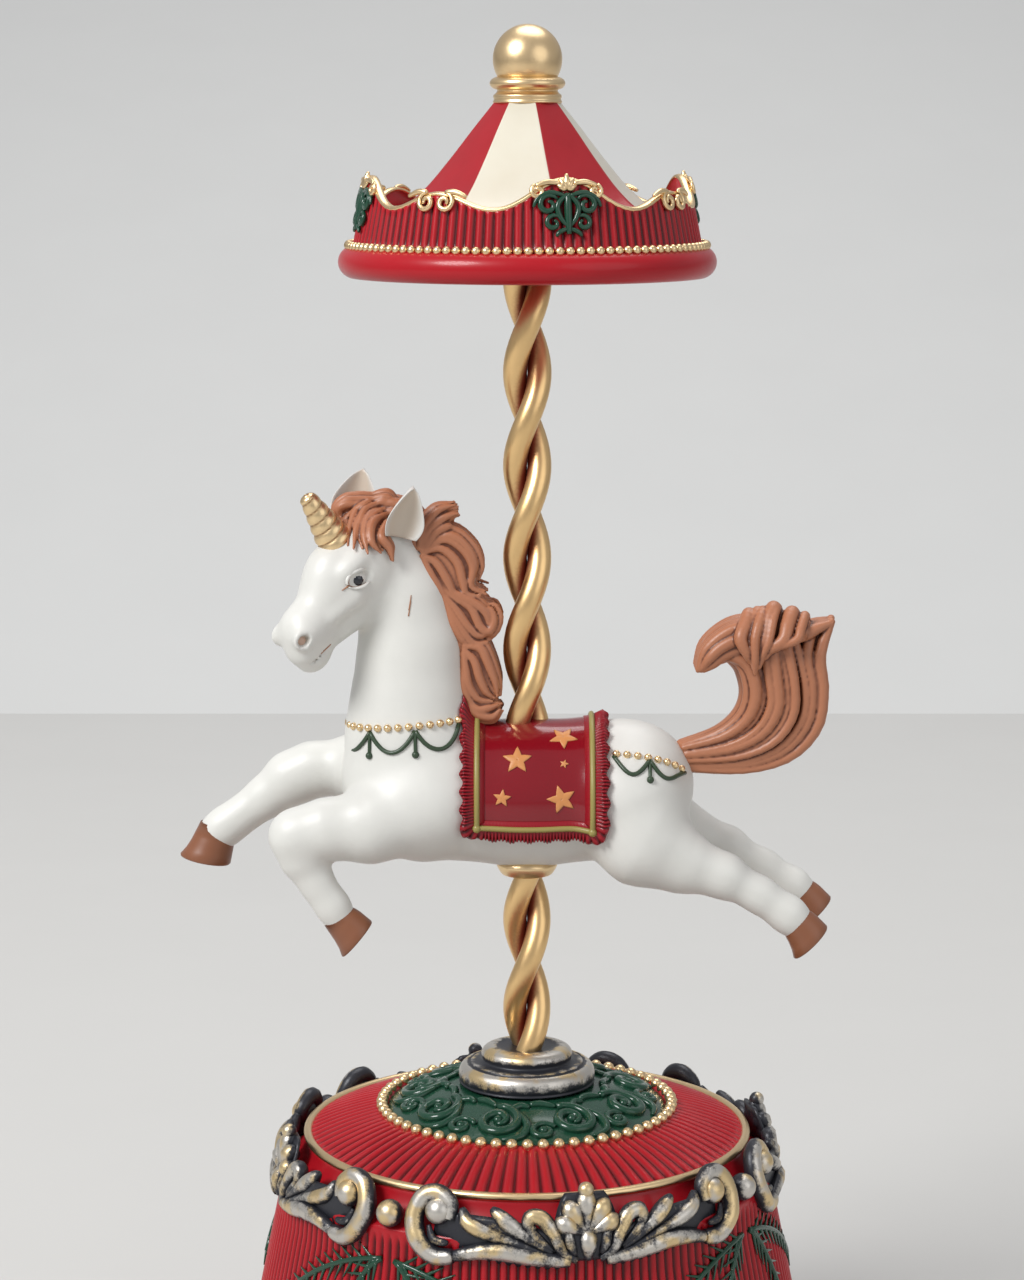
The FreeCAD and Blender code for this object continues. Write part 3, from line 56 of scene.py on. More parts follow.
def low(node):
    return np.array(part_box(node)[0]) / MM


def high(node):
    return np.array(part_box(node)[1]) / MM


# Places taken from the solids
RING_Z = (low("gilt_ring")[2] + high("gilt_ring")[2]) / 2
RING_R = high("gilt_ring")[0] - (high("gilt_ring")[2] - low("gilt_ring")[2]) / 2
BASE_FOOT_Z = low("base_shell")[2]
PLINTH_R = high("base_shell")[0]
HUB_Z = low("hub")[2]
HUB_TOP = high("hub")[2]
RIM_Z = low("canopy_rim")[2]
RIM_TOP = high("canopy_rim")[2]
RIM_R = high("canopy_rim")[0]
FINIAL_TOP = high("finial")[2]
POLE_Z = low("twisted_pole")[2]
POLE_TOP = high("twisted_pole")[2]
BELLY_DEPTH = 14.6      # from the middle of the trunk down to the belly
HORSE = np.array([0.0, 0.0, low("unicorn_trunk")[2] + BELLY_DEPTH])

# The first palmette and valance peak stand this far round from +X towards +Y
FRONT_ANGLE = math.radians(-77)
QUARTER = TAU / 4


# Meshes


class Shape:
    """Points in millimetres, faces as arrays of corner numbers, and how hollow each point lies, 0 to 1."""

    def __init__(self, points, faces, hollow=None):
        self.points = np.asarray(points, float).reshape(-1, 3)
        self.faces = [f for f in faces if len(f)]
        self.hollow = np.zeros(len(self.points)) if hollow is None else np.asarray(hollow, float).ravel()

    def moved(self, by):
        return Shape(self.points + by, self.faces, self.hollow)


def join(*shapes):
    """One shape holding several, with the corner numbers of each shifted past those before it."""
    faces, count = [], 0
    for shape in shapes:
        faces += [f + count for f in shape.faces]
        count += len(shape.points)
    points = np.concatenate([s.points for s in shapes])
    return Shape(points, faces, np.concatenate([s.hollow for s in shapes]))


def outward(shape):
    """The shape with its faces turned round if they enclose a negative volume."""
    volume = 0.0
    for f in shape.faces:
        a, b, c = (shape.points[f[:, i]] for i in (0, 1, 2))
        volume += np.einsum("ij,ij->i", a, np.cross(b, c)).sum()
        if f.shape[1] == 4:
            d = shape.points[f[:, 3]]
            volume += np.einsum("ij,ij->i", a, np.cross(c, d)).sum()
    if volume < 0:
        shape.faces = [f[:, ::-1] for f in shape.faces]
    return shape


def quads(rows, cols, close_rows=False, close_cols=False):
    """Corner numbers of the quads of a grid; a closed direction joins its last line to its first."""
    r = np.arange(rows if close_rows else rows - 1)
    c = np.arange(cols if close_cols else cols - 1)
    a, b = np.meshgrid(r, c, indexing="ij")
    a2, b2 = (a + 1) % rows, (b + 1) % cols
    return np.stack([a * cols + b, a2 * cols + b, a2 * cols + b2, a * cols + b2], -1).reshape(-1, 4)


def fan(tip, here, there):
    """Triangles from one tip to each edge of a row."""
    return np.stack([np.full(len(here), tip), here, there], -1)


def copies(faces, number, count):
    """The faces repeated for a number of equal grids that hold count points each."""
    each = np.arange(number)[:, None, None] * count
    return [(f[None] + each).reshape(-1, f.shape[1]) for f in faces]


def unit(v):
    return v / np.maximum(np.linalg.norm(v, axis=-1, keepdims=True), 1e-12)


def smooth_line(points, count):
    """A Catmull-Rom curve through the points, read at evenly spaced parameters."""
    p = np.asarray(points, float)
    n = len(p)
    t = np.linspace(0, n - 1, count)
    i = np.minimum(t.astype(int), n - 2)
    f = (t - i)[:, None]
    a, b, c, d = (p[np.clip(i + k, 0, n - 1)] for k in (-1, 0, 1, 2))
    return 0.5 * (2 * b + (c - a) * f + (2 * a - 5 * b + 4 * c - d) * f**2 + (3 * b - a - 3 * c + d) * f**3)


def lathe(profile, columns, shift=None):
    """A closed profile of (radius, z) rows turned about Z. shift, rows by columns, moves points along
    the profile's normal."""
    profile = np.asarray(profile, float)
    rows = len(profile)
    angle = np.arange(columns) / columns * TAU
    step = np.gradient(profile, axis=0)
    normal = unit(np.stack([step[:, 1], -step[:, 0]], -1))
    offset = np.zeros((rows, columns)) if shift is None else shift
    r = profile[:, :1] + normal[:, :1] * offset
    z = profile[:, 1:] + normal[:, 1:] * offset
    points = np.stack([r * np.cos(angle), r * np.sin(angle), z + 0 * angle], -1)
    return outward(Shape(points, [quads(rows, columns, True, True)], -np.minimum(offset, 0)))


def sweep(path, side, rise, up, sides=10, closed=False, cup=0.0):
    """Tubes along paths of shape (tubes, steps, 3). The section is an ellipse with half widths side
    and rise, rise pointing along up, and cup bends the section's edges along up. Ends close with fans."""
    path = np.asarray(path, float)
    path = path[None] if path.ndim == 2 else path
    tubes, steps, _ = path.shape
    side, rise, cup = (np.broadcast_to(v, (tubes, steps))[..., None, None] for v in (side, rise, cup))
    if closed:
        run = np.roll(path, -1, 1) - np.roll(path, 1, 1)
    else:
        run = np.gradient(path, axis=1)
    run = unit(run)
    across = unit(np.cross(run, np.broadcast_to(up, path.shape)))
    lift = np.cross(across, run)
    angle = (np.arange(sides) / sides * TAU)[:, None]
    bend = cup * np.cos(angle) ** 2
    points = (
        path[:, :, None]
        + side * np.cos(angle) * across[:, :, None]
        + (rise * np.sin(angle) + bend) * lift[:, :, None]
    )
    points = points.reshape(tubes, -1, 3)
    faces = [quads(steps, sides, closed, True)]
    if not closed:
        points = np.concatenate([points, path[:, :1], path[:, -1:]], 1)
        here = np.arange(sides)
        there = (here + 1) % sides
        last = (steps - 1) * sides
        faces += [fan(steps * sides, here, there), fan(steps * sides + 1, last + there, last + here)]
    return Shape(points, copies(faces, tubes, points.shape[1]))


def balls(centres, radius, rings=7, columns=10):
    """Spheres of latitude rings and longitude columns, with a single point at each pole."""
    centres = np.asarray(centres, float).reshape(-1, 3)
    lat = (np.arange(1, rings) / rings * np.pi)[:, None]
    lon = np.arange(columns) / columns * TAU
    ring = np.stack([np.sin(lat) * np.cos(lon), np.sin(lat) * np.sin(lon), np.cos(lat) + 0 * lon], -1)
    one = np.concatenate([ring.reshape(-1, 3), [[0, 0, 1], [0, 0, -1]]])
    here = np.arange(columns)
    there = (here + 1) % columns
    last = (rings - 2) * columns
    faces = [
        quads(rings - 1, columns, False, True),
        fan(len(one) - 2, here, there),
        fan(len(one) - 1, last + there, last + here),
    ]
    return Shape(centres[:, None] + radius * one, copies(faces, len(centres), len(one)))


def piece(name, body, shape, paint, stands_for=()):
    """Makes a mesh object from a shape and lets it ride on a body, in place of the named solids."""
    mesh = bpy.data.meshes.new(name)
    mesh.vertices.add(len(shape.points))
    mesh.vertices.foreach_set("co", (shape.points * MM).astype(np.float32).ravel())
    corners = np.concatenate([f.ravel() for f in shape.faces])
    sizes = np.concatenate([np.full(len(f), f.shape[1]) for f in shape.faces])
    mesh.loops.add(len(corners))
    mesh.loops.foreach_set("vertex_index", corners.astype(np.int32))
    mesh.polygons.add(len(sizes))
    mesh.polygons.foreach_set("loop_start", np.concatenate([[0], np.cumsum(sizes)[:-1]]).astype(np.int32))
    mesh.polygons.foreach_set("use_smooth", np.ones(len(sizes), bool))
    mesh.update(calc_edges=True)
    mesh.validate()
    attribute = mesh.attributes.new("hollow", "FLOAT", "POINT")
    attribute.data.foreach_set("value", np.clip(shape.hollow, 0, 1).astype(np.float32))
    mesh.materials.append(paint)
    thing = bpy.data.objects.new(name, mesh)
    bpy.context.scene.collection.objects.link(thing)
    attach(thing, body)
    if stands_for:
        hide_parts(*stands_for)


# Paints


class Wire:
    """A shader socket; arithmetic on it adds Math nodes."""

    def __init__(self, paint, socket):
        self.paint, self.socket = paint, socket

    def math(self, operation, *others):
        values = {i: v for i, v in enumerate((self, *others))}
        return self.paint.node("ShaderNodeMath", {"operation": operation}, values)

    def __add__(self, other):
        return self.math("ADD", other)

    def __mul__(self, other):
        return self.math("MULTIPLY", other)

    def __sub__(self, other):
        return self.math("SUBTRACT", other)

    def __rsub__(self, other):
        return self.paint.node("ShaderNodeMath", {"operation": "SUBTRACT"}, {0: other, 1: self})

    __radd__ = __add__


class Paint:
    """A finish: one Principled shader and the nodes that feed it."""

    def __init__(self, name, **constants):
        self.material = bpy.data.materials.new(name)
        self.material.use_nodes = True
        self.tree = self.material.node_tree
        self.shader = self.tree.nodes["Principled BSDF"]
        for socket, value in constants.items():
            self.shader.inputs[socket.replace("_", " ").title().replace("Ior", "IOR")].default_value = value

    def node(self, kind, settings=None, values=None, out=0):
        """Adds a node, sets its settings first, then the values or links of its sockets."""
        made = self.tree.nodes.new(kind)
        for key, value in (settings or {}).items():
            setattr(made, key, value)
        for key, value in (values or {}).items():
            socket = made.inputs[key]
            if isinstance(value, Wire):
                self.tree.links.new(value.socket, socket)
            elif isinstance(value, tuple) and len(value) == 3 and socket.type == "RGBA":
                socket.default_value = (*value, 1)
            else:
                socket.default_value = value
        return Wire(self, made.outputs[out])

    def place(self):
        return self.node("ShaderNodeTexCoord", out="Object")

    def noise(self, size_mm, detail=3.0, stretch=(1, 1, 1)):
        """Cloudy noise with patches of about a size, stretched along an axis."""
        where = self.node("ShaderNodeMapping", None, {"Vector": self.place(), "Scale": stretch})
        values = {"Vector": where, "Scale": 1 / (size_mm * MM), "Detail": detail}
        return self.node("ShaderNodeTexNoise", None, values)

    def hollow(self):
        return self.node("ShaderNodeAttribute", {"attribute_name": "hollow"}, out="Fac")

    def step(self, value, start, end):
        """0 below start, 1 above end, smooth between."""
        settings = {"interpolation_type": "SMOOTHSTEP"}
        return self.node("ShaderNodeMapRange", settings, {0: value, 1: start, 2: end, 3: 0.0, 4: 1.0})

    def mix(self, share, first, second):
        return self.node("ShaderNodeMix", {"data_type": "RGBA"}, {0: share, 6: first, 7: second}, out=2)

    def feed(self, **inputs):
        for socket, value in inputs.items():
            self.tree.links.new(value.socket, self.shader.inputs[socket.replace("_", " ").title()])

    def bump(self, height, strength, distance_mm):
        """Fine relief that is too small for the mesh."""
        values = {"Height": height, "Strength": strength, "Distance": distance_mm * MM}
        self.feed(normal=self.node("ShaderNodeBump", None, values))


def lacquer(name, colour, dark, gloss=0.24, coat=0.14):
    """Glossy paint, faintly uneven, with painted shade that darkens its hollows towards the dark colour."""
    paint = Paint(name, coat_weight=coat, coat_roughness=0.08, specular_ior_level=0.25)
    cloud = paint.noise(9.0)
    fine = paint.noise(0.7, 2.0)
    # Painted shade: the hollows, and a little cloud, darken the paint towards the dark colour.
    painted_shade = paint.step(paint.hollow() + cloud * 0.16, 0.12, 0.75)
    paint.feed(
        base_color=paint.mix(painted_shade, paint.mix(cloud, colour, tuple(0.86 * c for c in colour)), dark),
        roughness=gloss + fine * 0.12 + cloud * 0.06,
    )
    paint.bump(fine, 0.12, 0.05)
    return paint.material


def gold_leaf(name, ground=(0.20, 0.085, 0.025), tone=(0.90, 0.67, 0.38)):
    """Gold leaf: smooth satin metal, a little uneven in tone, with a dark warm ground in the hollows that is
    partly the red bole under the leaf and partly painted shade.
    """
    paint = Paint(name)
    cloud = paint.noise(5.0)
    fine = paint.noise(0.5, 3.0)
    # The hollows darken to the ground colour: partly red bole showing through, partly painted shade.
    deep = paint.step(paint.hollow() + fine * 0.14, 0.28, 0.85)
    gold = paint.mix(cloud, tone, tuple(c * 0.84 for c in tone))
    paint.feed(
        base_color=paint.mix(deep, gold, ground),
        metallic=1 - deep * 0.5,
        roughness=0.28 + fine * 0.10 + deep * 0.15,
    )
    paint.bump(fine, 0.14, 0.04)
    return paint.material


def antique_silver(name):
    """Blue-black patina, rubbed to silver and pale gold along the tops of the relief."""
    paint = Paint(name)
    cloud = paint.noise(1.6, 4.0)
    fine = paint.noise(0.35, 3.0)
    rubbed = paint.step((cloud - 0.5) * 0.8 + (fine - 0.5) * 0.4 - paint.hollow(), -0.46, -0.10)
    gilt = paint.step(paint.noise(4.5, 2.0), 0.44, 0.60)
    bright = paint.mix(gilt, (0.60, 0.57, 0.52), (0.70, 0.54, 0.30))
    paint.feed(
        base_color=paint.mix(rubbed, (0.022, 0.023, 0.030), bright),
        metallic=0.25 + rubbed * 0.7,
        roughness=0.33 + fine * 0.12,
    )
    paint.bump(fine, 0.3, 0.08)
    return paint.material


def satin(name, colour, painted_shade_colour, gloss=0.42, grain=0.8, high=None):
    """Satin paint with painted shade that darkens its hollows and a paler dry brushing in streaks."""
    paint = Paint(name, coat_weight=0.06, coat_roughness=0.3)
    cloud = paint.noise(6.0)
    fine = paint.noise(grain, 3.0)
    body = paint.mix(cloud, colour, tuple(0.9 * c for c in colour))
    if high:
        body = paint.mix(paint.step(fine, 0.50, 0.72), body, high)
    # Painted shade: the hollows, and a little cloud, darken the paint towards the shade colour.
    deep = paint.step(paint.hollow() + cloud * 0.15, 0.18, 0.85)
    paint.feed(base_color=paint.mix(deep, body, painted_shade_colour), roughness=gloss + fine * 0.14)
    paint.bump(fine, 0.16, 0.05)
    return paint.material


def plain_metal(name, colour, roughness):
    """Machined metal with fine turning marks."""
    paint = Paint(name, metallic=1.0)
    marks = paint.noise(0.6, 2.0, (1, 1, 6))
    tone = paint.mix(marks, colour, tuple(0.8 * c for c in colour))
    paint.feed(base_color=tone, roughness=roughness + marks * 0.15)
    paint.bump(marks, 0.1, 0.02)
    return paint.material


def striped(name):
    """Eight gores of a tent roof, red and cream in turn, told apart by the angle about the axis."""
    paint = Paint(name, coat_weight=0.25, coat_roughness=0.1, specular_ior_level=0.25)
    where = paint.place()
    x, y = (paint.node("ShaderNodeSeparateXYZ", None, {0: where}, out=i) for i in (0, 1))
    angle = y.math("ARCTAN2", x)
    wave = ((angle - FRONT_ANGLE) * 4).math("SINE")
    red = paint.step(wave, -0.03, 0.03)
    cloud = paint.noise(7.0)
    cream = paint.mix(cloud, (0.66, 0.63, 0.53), (0.60, 0.55, 0.44))
    crimson = paint.mix(cloud, (0.37, 0.007, 0.014), (0.27, 0.005, 0.010))
    # Painted shade: the roof's foot, down behind the valance, darkens to a dark brown.
    deep = paint.step(paint.hollow(), 0.3, 1.0)
    colour = paint.mix(deep, paint.mix(red, cream, crimson), (0.22, 0.06, 0.03))
    paint.feed(base_color=colour, roughness=0.26 + paint.noise(1.2) * 0.12)
    paint.bump(paint.noise(2.4), 0.1, 0.12)
    return paint.material


# The third colour of each lacquer and satin below is the painted shade put in its hollows; the gold leaf's
# ground is red bole and painted shade.
RED = lacquer("red lacquer", (0.40, 0.007, 0.014), (0.075, 0.002, 0.004))
GREEN = lacquer("green lacquer", (0.010, 0.055, 0.030), (0.003, 0.014, 0.008), 0.18, 0.45)
GOLD = gold_leaf("gold leaf")
POLE_GOLD = gold_leaf("gold leaf over red", (0.24, 0.045, 0.02), (0.90, 0.61, 0.29))
SILVER = antique_silver("antique silver")
WHITE = satin("unicorn white", (0.67, 0.665, 0.625), (0.42, 0.36, 0.28), 0.36)
EAR_WHITE = satin("ear white", (0.68, 0.67, 0.63), (0.56, 0.48, 0.39), 0.40)
HAIR = satin("chestnut hair", (0.40, 0.155, 0.076), (0.10, 0.026, 0.010), 0.36)
HOOF = satin("hoof brown", (0.22, 0.080, 0.036), (0.06, 0.02, 0.01), 0.34)
CLOTH_RED = lacquer("blanket red", (0.21, 0.004, 0.010), (0.06, 0.002, 0.004), 0.14, 0.6)
FRINGE = lacquer("fringe red", (0.28, 0.006, 0.014), (0.06, 0.002, 0.004), 0.3, 0.2)
STAR = satin("star orange gold", (0.60, 0.25, 0.08), (0.30, 0.09, 0.02), 0.30)
OLIVE = satin("olive gold", (0.30, 0.25, 0.07), (0.10, 0.07, 0.015), 0.34)
GARLAND = satin("garland green", (0.028, 0.055, 0.026), (0.008, 0.016, 0.008), 0.30)
BLUSH = satin("nostril blush", (0.56, 0.38, 0.29), (0.34, 0.19, 0.13), 0.45)
BROWN_LINE = satin("painted brown line", (0.36, 0.17, 0.09), (0.2, 0.07, 0.03), 0.45)
INK = lacquer("eye black", (0.012, 0.013, 0.020), (0.004, 0.004, 0.006), 0.10, 0.8)
STEEL = plain_metal("bright steel", (0.62, 0.62, 0.64), 0.24)
BRASS = plain_metal("plain brass", (0.76, 0.56, 0.25), 0.26)
CASTING = plain_metal("as-cast metal", (0.50, 0.49, 0.47), 0.42)
RUBBER = satin("black rubber", (0.03, 0.03, 0.03), (0.01, 0.01, 0.01), 0.7)
BOARD = satin("fibre board", (0.30, 0.21, 0.13), (0.16, 0.10, 0.06), 0.7, 0.4, (0.38, 0.28, 0.18))


# Base


def arc(start, through, end, count):
    """Points on the circle through three points, from the first to the last."""
    (ax, ay), (bx, by), (cx, cy) = start, through, end
    d = 2 * (ax * (by - cy) + bx * (cy - ay) + cx * (ay - by))
    ux = ((ax**2 + ay**2) * (by - cy) + (bx**2 + by**2) * (cy - ay) + (cx**2 + cy**2) * (ay - by)) / d
    uy = ((ax**2 + ay**2) * (cx - bx) + (bx**2 + by**2) * (ax - cx) + (cx**2 + cy**2) * (bx - ax)) / d
    a0 = math.atan2(ay - uy, ax - ux)
    sweep_b = (math.atan2(by - uy, bx - ux) - a0) % TAU
    sweep_c = (math.atan2(cy - uy, cx - ux) - a0) % TAU
    if sweep_b > sweep_c:
        sweep_c -= TAU
    t = a0 + np.linspace(0, 1, count) * sweep_c
    radius = math.hypot(ax - ux, ay - uy)
    return np.stack([ux + radius * np.cos(t), uy + radius * np.sin(t)], -1)


def line(start, end, count):
    return np.linspace(start, end, count)


DRUM_FOOT_R = PLINTH_R - 3.2
DRUM_TOP_R = 49.0
DRUM_TOP_Z = RING_Z - 14.0
BAND_R = 48.4
BAND_TOP_Z = RING_Z - 7.0
BAND_MIDDLE_Z = RING_Z - 3.9
BAND_SLOPE = 0.30       # how far the relief leans in for each millimetre above the band
BAND_RELIEF = 2.6       # height at which the relief is rubbed bright
BAND_STOUTNESS = 1.2    # widens every stroke drawn on the band
BEAD_R = 28.4
BEAD_Z = RING_Z + 5.0
SEAT_Z = BEAD_Z - 1.2
PLINTH_TOP_Z = BASE_FOOT_Z + 8.0
PLINTH_EDGE_R = PLINTH_R - 2.0
RECESS_R = 50.0
COVER_TOP_Z = high("bottom_cover")[2]
CEILING_Z = RING_Z - 4.0
BORE_R = 4.0
DRUM_FLUTES = 170
DOME_RIBS = 102
BASE_COLUMNS = 1020     # six to a flute and ten to a rib


def base_skin():
    """The casting as one closed turned profile. Flutes on the drum and ribs on the dome are ridges of
    |cos| section that fade out at their ends."""
    stretches = [
        ("foot", arc((PLINTH_EDGE_R, BASE_FOOT_Z), (PLINTH_R, BASE_FOOT_Z + 4),
                     (PLINTH_EDGE_R, PLINTH_TOP_Z), 10)),
        ("lip", line((PLINTH_R - 2.3, PLINTH_TOP_Z + 0.1), (DRUM_FOOT_R, PLINTH_TOP_Z + 0.3), 3)),
        ("drum", line((DRUM_FOOT_R, PLINTH_TOP_Z + 0.6), (DRUM_TOP_R, DRUM_TOP_Z), 16)),
        ("drum", line((DRUM_TOP_R - 0.1, DRUM_TOP_Z + 1.0), (BAND_R, BAND_TOP_Z - 0.6), 6)),
        ("band", line((BAND_R, BAND_TOP_Z - 0.3), (BAND_R, BAND_TOP_Z), 2)),
        ("cove", arc((BAND_R - 0.1, BAND_TOP_Z + 0.4), (45.0, RING_Z - 4.2),
                     (RING_R + 0.3, RING_Z - 0.3), 9)),
        ("dome", arc((RING_R - 0.4, RING_Z + 0.2), (35.6, RING_Z + 3.0), (BEAD_R, BEAD_Z), 14)),
        ("seat", [(BEAD_R - 0.9, BEAD_Z), (BEAD_R - 1.0, SEAT_Z), (15.0, SEAT_Z), (BORE_R, SEAT_Z)]),
        ("inside", [(BORE_R, CEILING_Z), (38.4, CEILING_Z), (43.9, DRUM_TOP_Z), (47.5, COVER_TOP_Z)]),
        ("recess", [(RECESS_R, COVER_TOP_Z), (RECESS_R, 12.0), (RECESS_R, BASE_FOOT_Z + 0.3),
                    (RECESS_R + 0.4, BASE_FOOT_Z)]),
    ]
    profile = np.concatenate([points for _, points in stretches])
    kind = np.concatenate([[name] * len(points) for name, points in stretches])
    angle = np.arange(BASE_COLUMNS) / BASE_COLUMNS * TAU
    flute = 1 - np.abs(np.cos(DRUM_FLUTES * angle / 2)) ** 0.8
    rib = 1 - np.abs(np.cos(DOME_RIBS * angle / 2)) ** 0.8

    def fade(name, deep):
        on = kind == name
        t = np.linspace(0, 1, on.sum())
        amount = np.zeros(len(kind))
        amount[on] = deep * np.clip(np.minimum(t, 1 - t) * 12, 0, 1)
        return amount[:, None]

    shift = -fade("drum", 0.85) * flute - fade("dome", 0.8) * rib * np.clip(profile[:, :1] / RING_R, 0.55, 1)
    # The lathe keeps the depth of the flutes and ribs as hollow, which the red lacquer darkens as painted
    # shade.
    return lathe(profile, BASE_COLUMNS, shift)


MEDALLION_R, MEDALLION_BORE_R = 27.2, 6.2
MEDALLION_LEVEL_R = 13.3            # the top is level as far as the hub reaches
MEDALLION_TOP_Z = HUB_Z - 0.3
MEDALLION_EDGE = 1.0                # height of its edge over the seat
MEDALLION_DRAWN_R = 20.5            # the ring along which its scrolls are drawn


def medallion_height(r):
    """The medallion's top: level under the hub, then falling ever more steeply to its edge."""
    beyond = (np.maximum(r, MEDALLION_LEVEL_R) - MEDALLION_LEVEL_R) / (MEDALLION_R - MEDALLION_LEVEL_R)
    return MEDALLION_TOP_Z - beyond**1.35 * (MEDALLION_TOP_Z - SEAT_Z - MEDALLION_EDGE)


def medallion_disc():
    r = np.linspace(MEDALLION_R, MEDALLION_BORE_R, 26)
    top = np.stack([r, medallion_height(r)], -1)
    profile = np.concatenate([[(MEDALLION_BORE_R, SEAT_Z), (MEDALLION_R, SEAT_Z)], top])
    return lathe(profile, 160)


def spiral(centre, start_radius, end_radius, start_turn, turns, count=28):
    """A flat spiral whose radius falls evenly from start to end."""
    t = np.linspace(0, 1, count)
    r = start_radius + (end_radius - start_radius) * t
    a = start_turn + turns * TAU * t
    return np.stack([centre[0] + r * np.cos(a), centre[1] + r * np.sin(a)], -1)


def on_medallion(flat, turn):
    """Takes drawn points (along the rim, outwards from the hub) onto the medallion at a turn."""
    r = MEDALLION_DRAWN_R + flat[..., 1]
    a = turn + flat[..., 0] / MEDALLION_DRAWN_R
    return np.stack([r * np.cos(a), r * np.sin(a), medallion_height(r) + 0.25], -1)


def medallion_scrolls():
    """Running leaf scrolls: a volute, a counter volute and three leaves, repeated round the disc."""
    turns = np.arange(9) / 9 * TAU + 0.2
    eye, counter_eye = (1.0, 0.2), (-5.0, 3.0)
    drawn = [
        (smooth_line([(-7.0, -5.4), (-4.0, -5.6), (-0.6, -4.2)], 10), 0.8),
        (spiral(eye, 4.6, 0.9, -1.9, 1.55), 1.05),
        (smooth_line([(4.6, -2.6), (6.6, 1.0), (5.6, 4.6), (2.6, 5.6)], 16), 0.85),
        (spiral(counter_eye, 2.4, 0.6, -0.4, -1.3, 20), 0.75),
        (smooth_line([(2.8, -3.4), (5.0, -5.0), (7.2, -4.4)], 10), 0.8),
    ]
    shapes = []
    for flat, width in drawn:
        t = np.linspace(0, 1, len(flat))
        half = width * (0.35 + 0.65 * np.sin(np.pi * np.clip(t * 0.86 + 0.14, 0, 1)) ** 0.7)
        paths = np.stack([on_medallion(flat, a) for a in turns])
        shapes.append(sweep(paths, half, half * 0.95, (0, 0, 1), 8))
    eyes = [on_medallion(np.array(place), a) for a in turns for place in (eye, counter_eye)]
    shapes.append(balls(eyes, 0.95, 6, 8))
    return join(*shapes)


def on_band(flat, turn, proud=0.0):
    """Takes drawn points (along the rim, upwards) onto the shoulder of the base at a turn."""
    a = turn + flat[..., 0] / BAND_R
    z = BAND_MIDDLE_Z + flat[..., 1]
    slope = np.clip(z - BAND_TOP_Z, 0, None) * BAND_SLOPE
    r = BAND_R + proud - slope
    return np.stack([r * np.cos(a), r * np.sin(a), z], -1)


def away(path):
    """The level direction away from the axis at each point."""
    flat = path.copy()
    flat[..., 2] = 0
    return unit(flat)


def band_relief(drawn, width, rise, turns, proud, taper):
    """A drawn stroke swept on the band at every turn. taper gives the share of its width at its ends,
    and a power that moves its fullest place along it."""
    t = np.linspace(0, 1, len(drawn))
    half = BAND_STOUTNESS * width * (taper[0] + (1 - taper[0]) * np.sin(np.pi * t ** taper[1]))
    paths = np.stack([on_band(drawn, a, proud) for a in turns])
    return sweep(paths, half, half * rise, away(paths))


def petal(foot, long, lean, count):
    """A straight petal of a fan, drawn upwards from its foot at a lean."""
    reach = np.linspace(0, 1, count)[:, None]
    return np.array([0, foot]) + reach * long * np.array([math.sin(lean), math.cos(lean)])


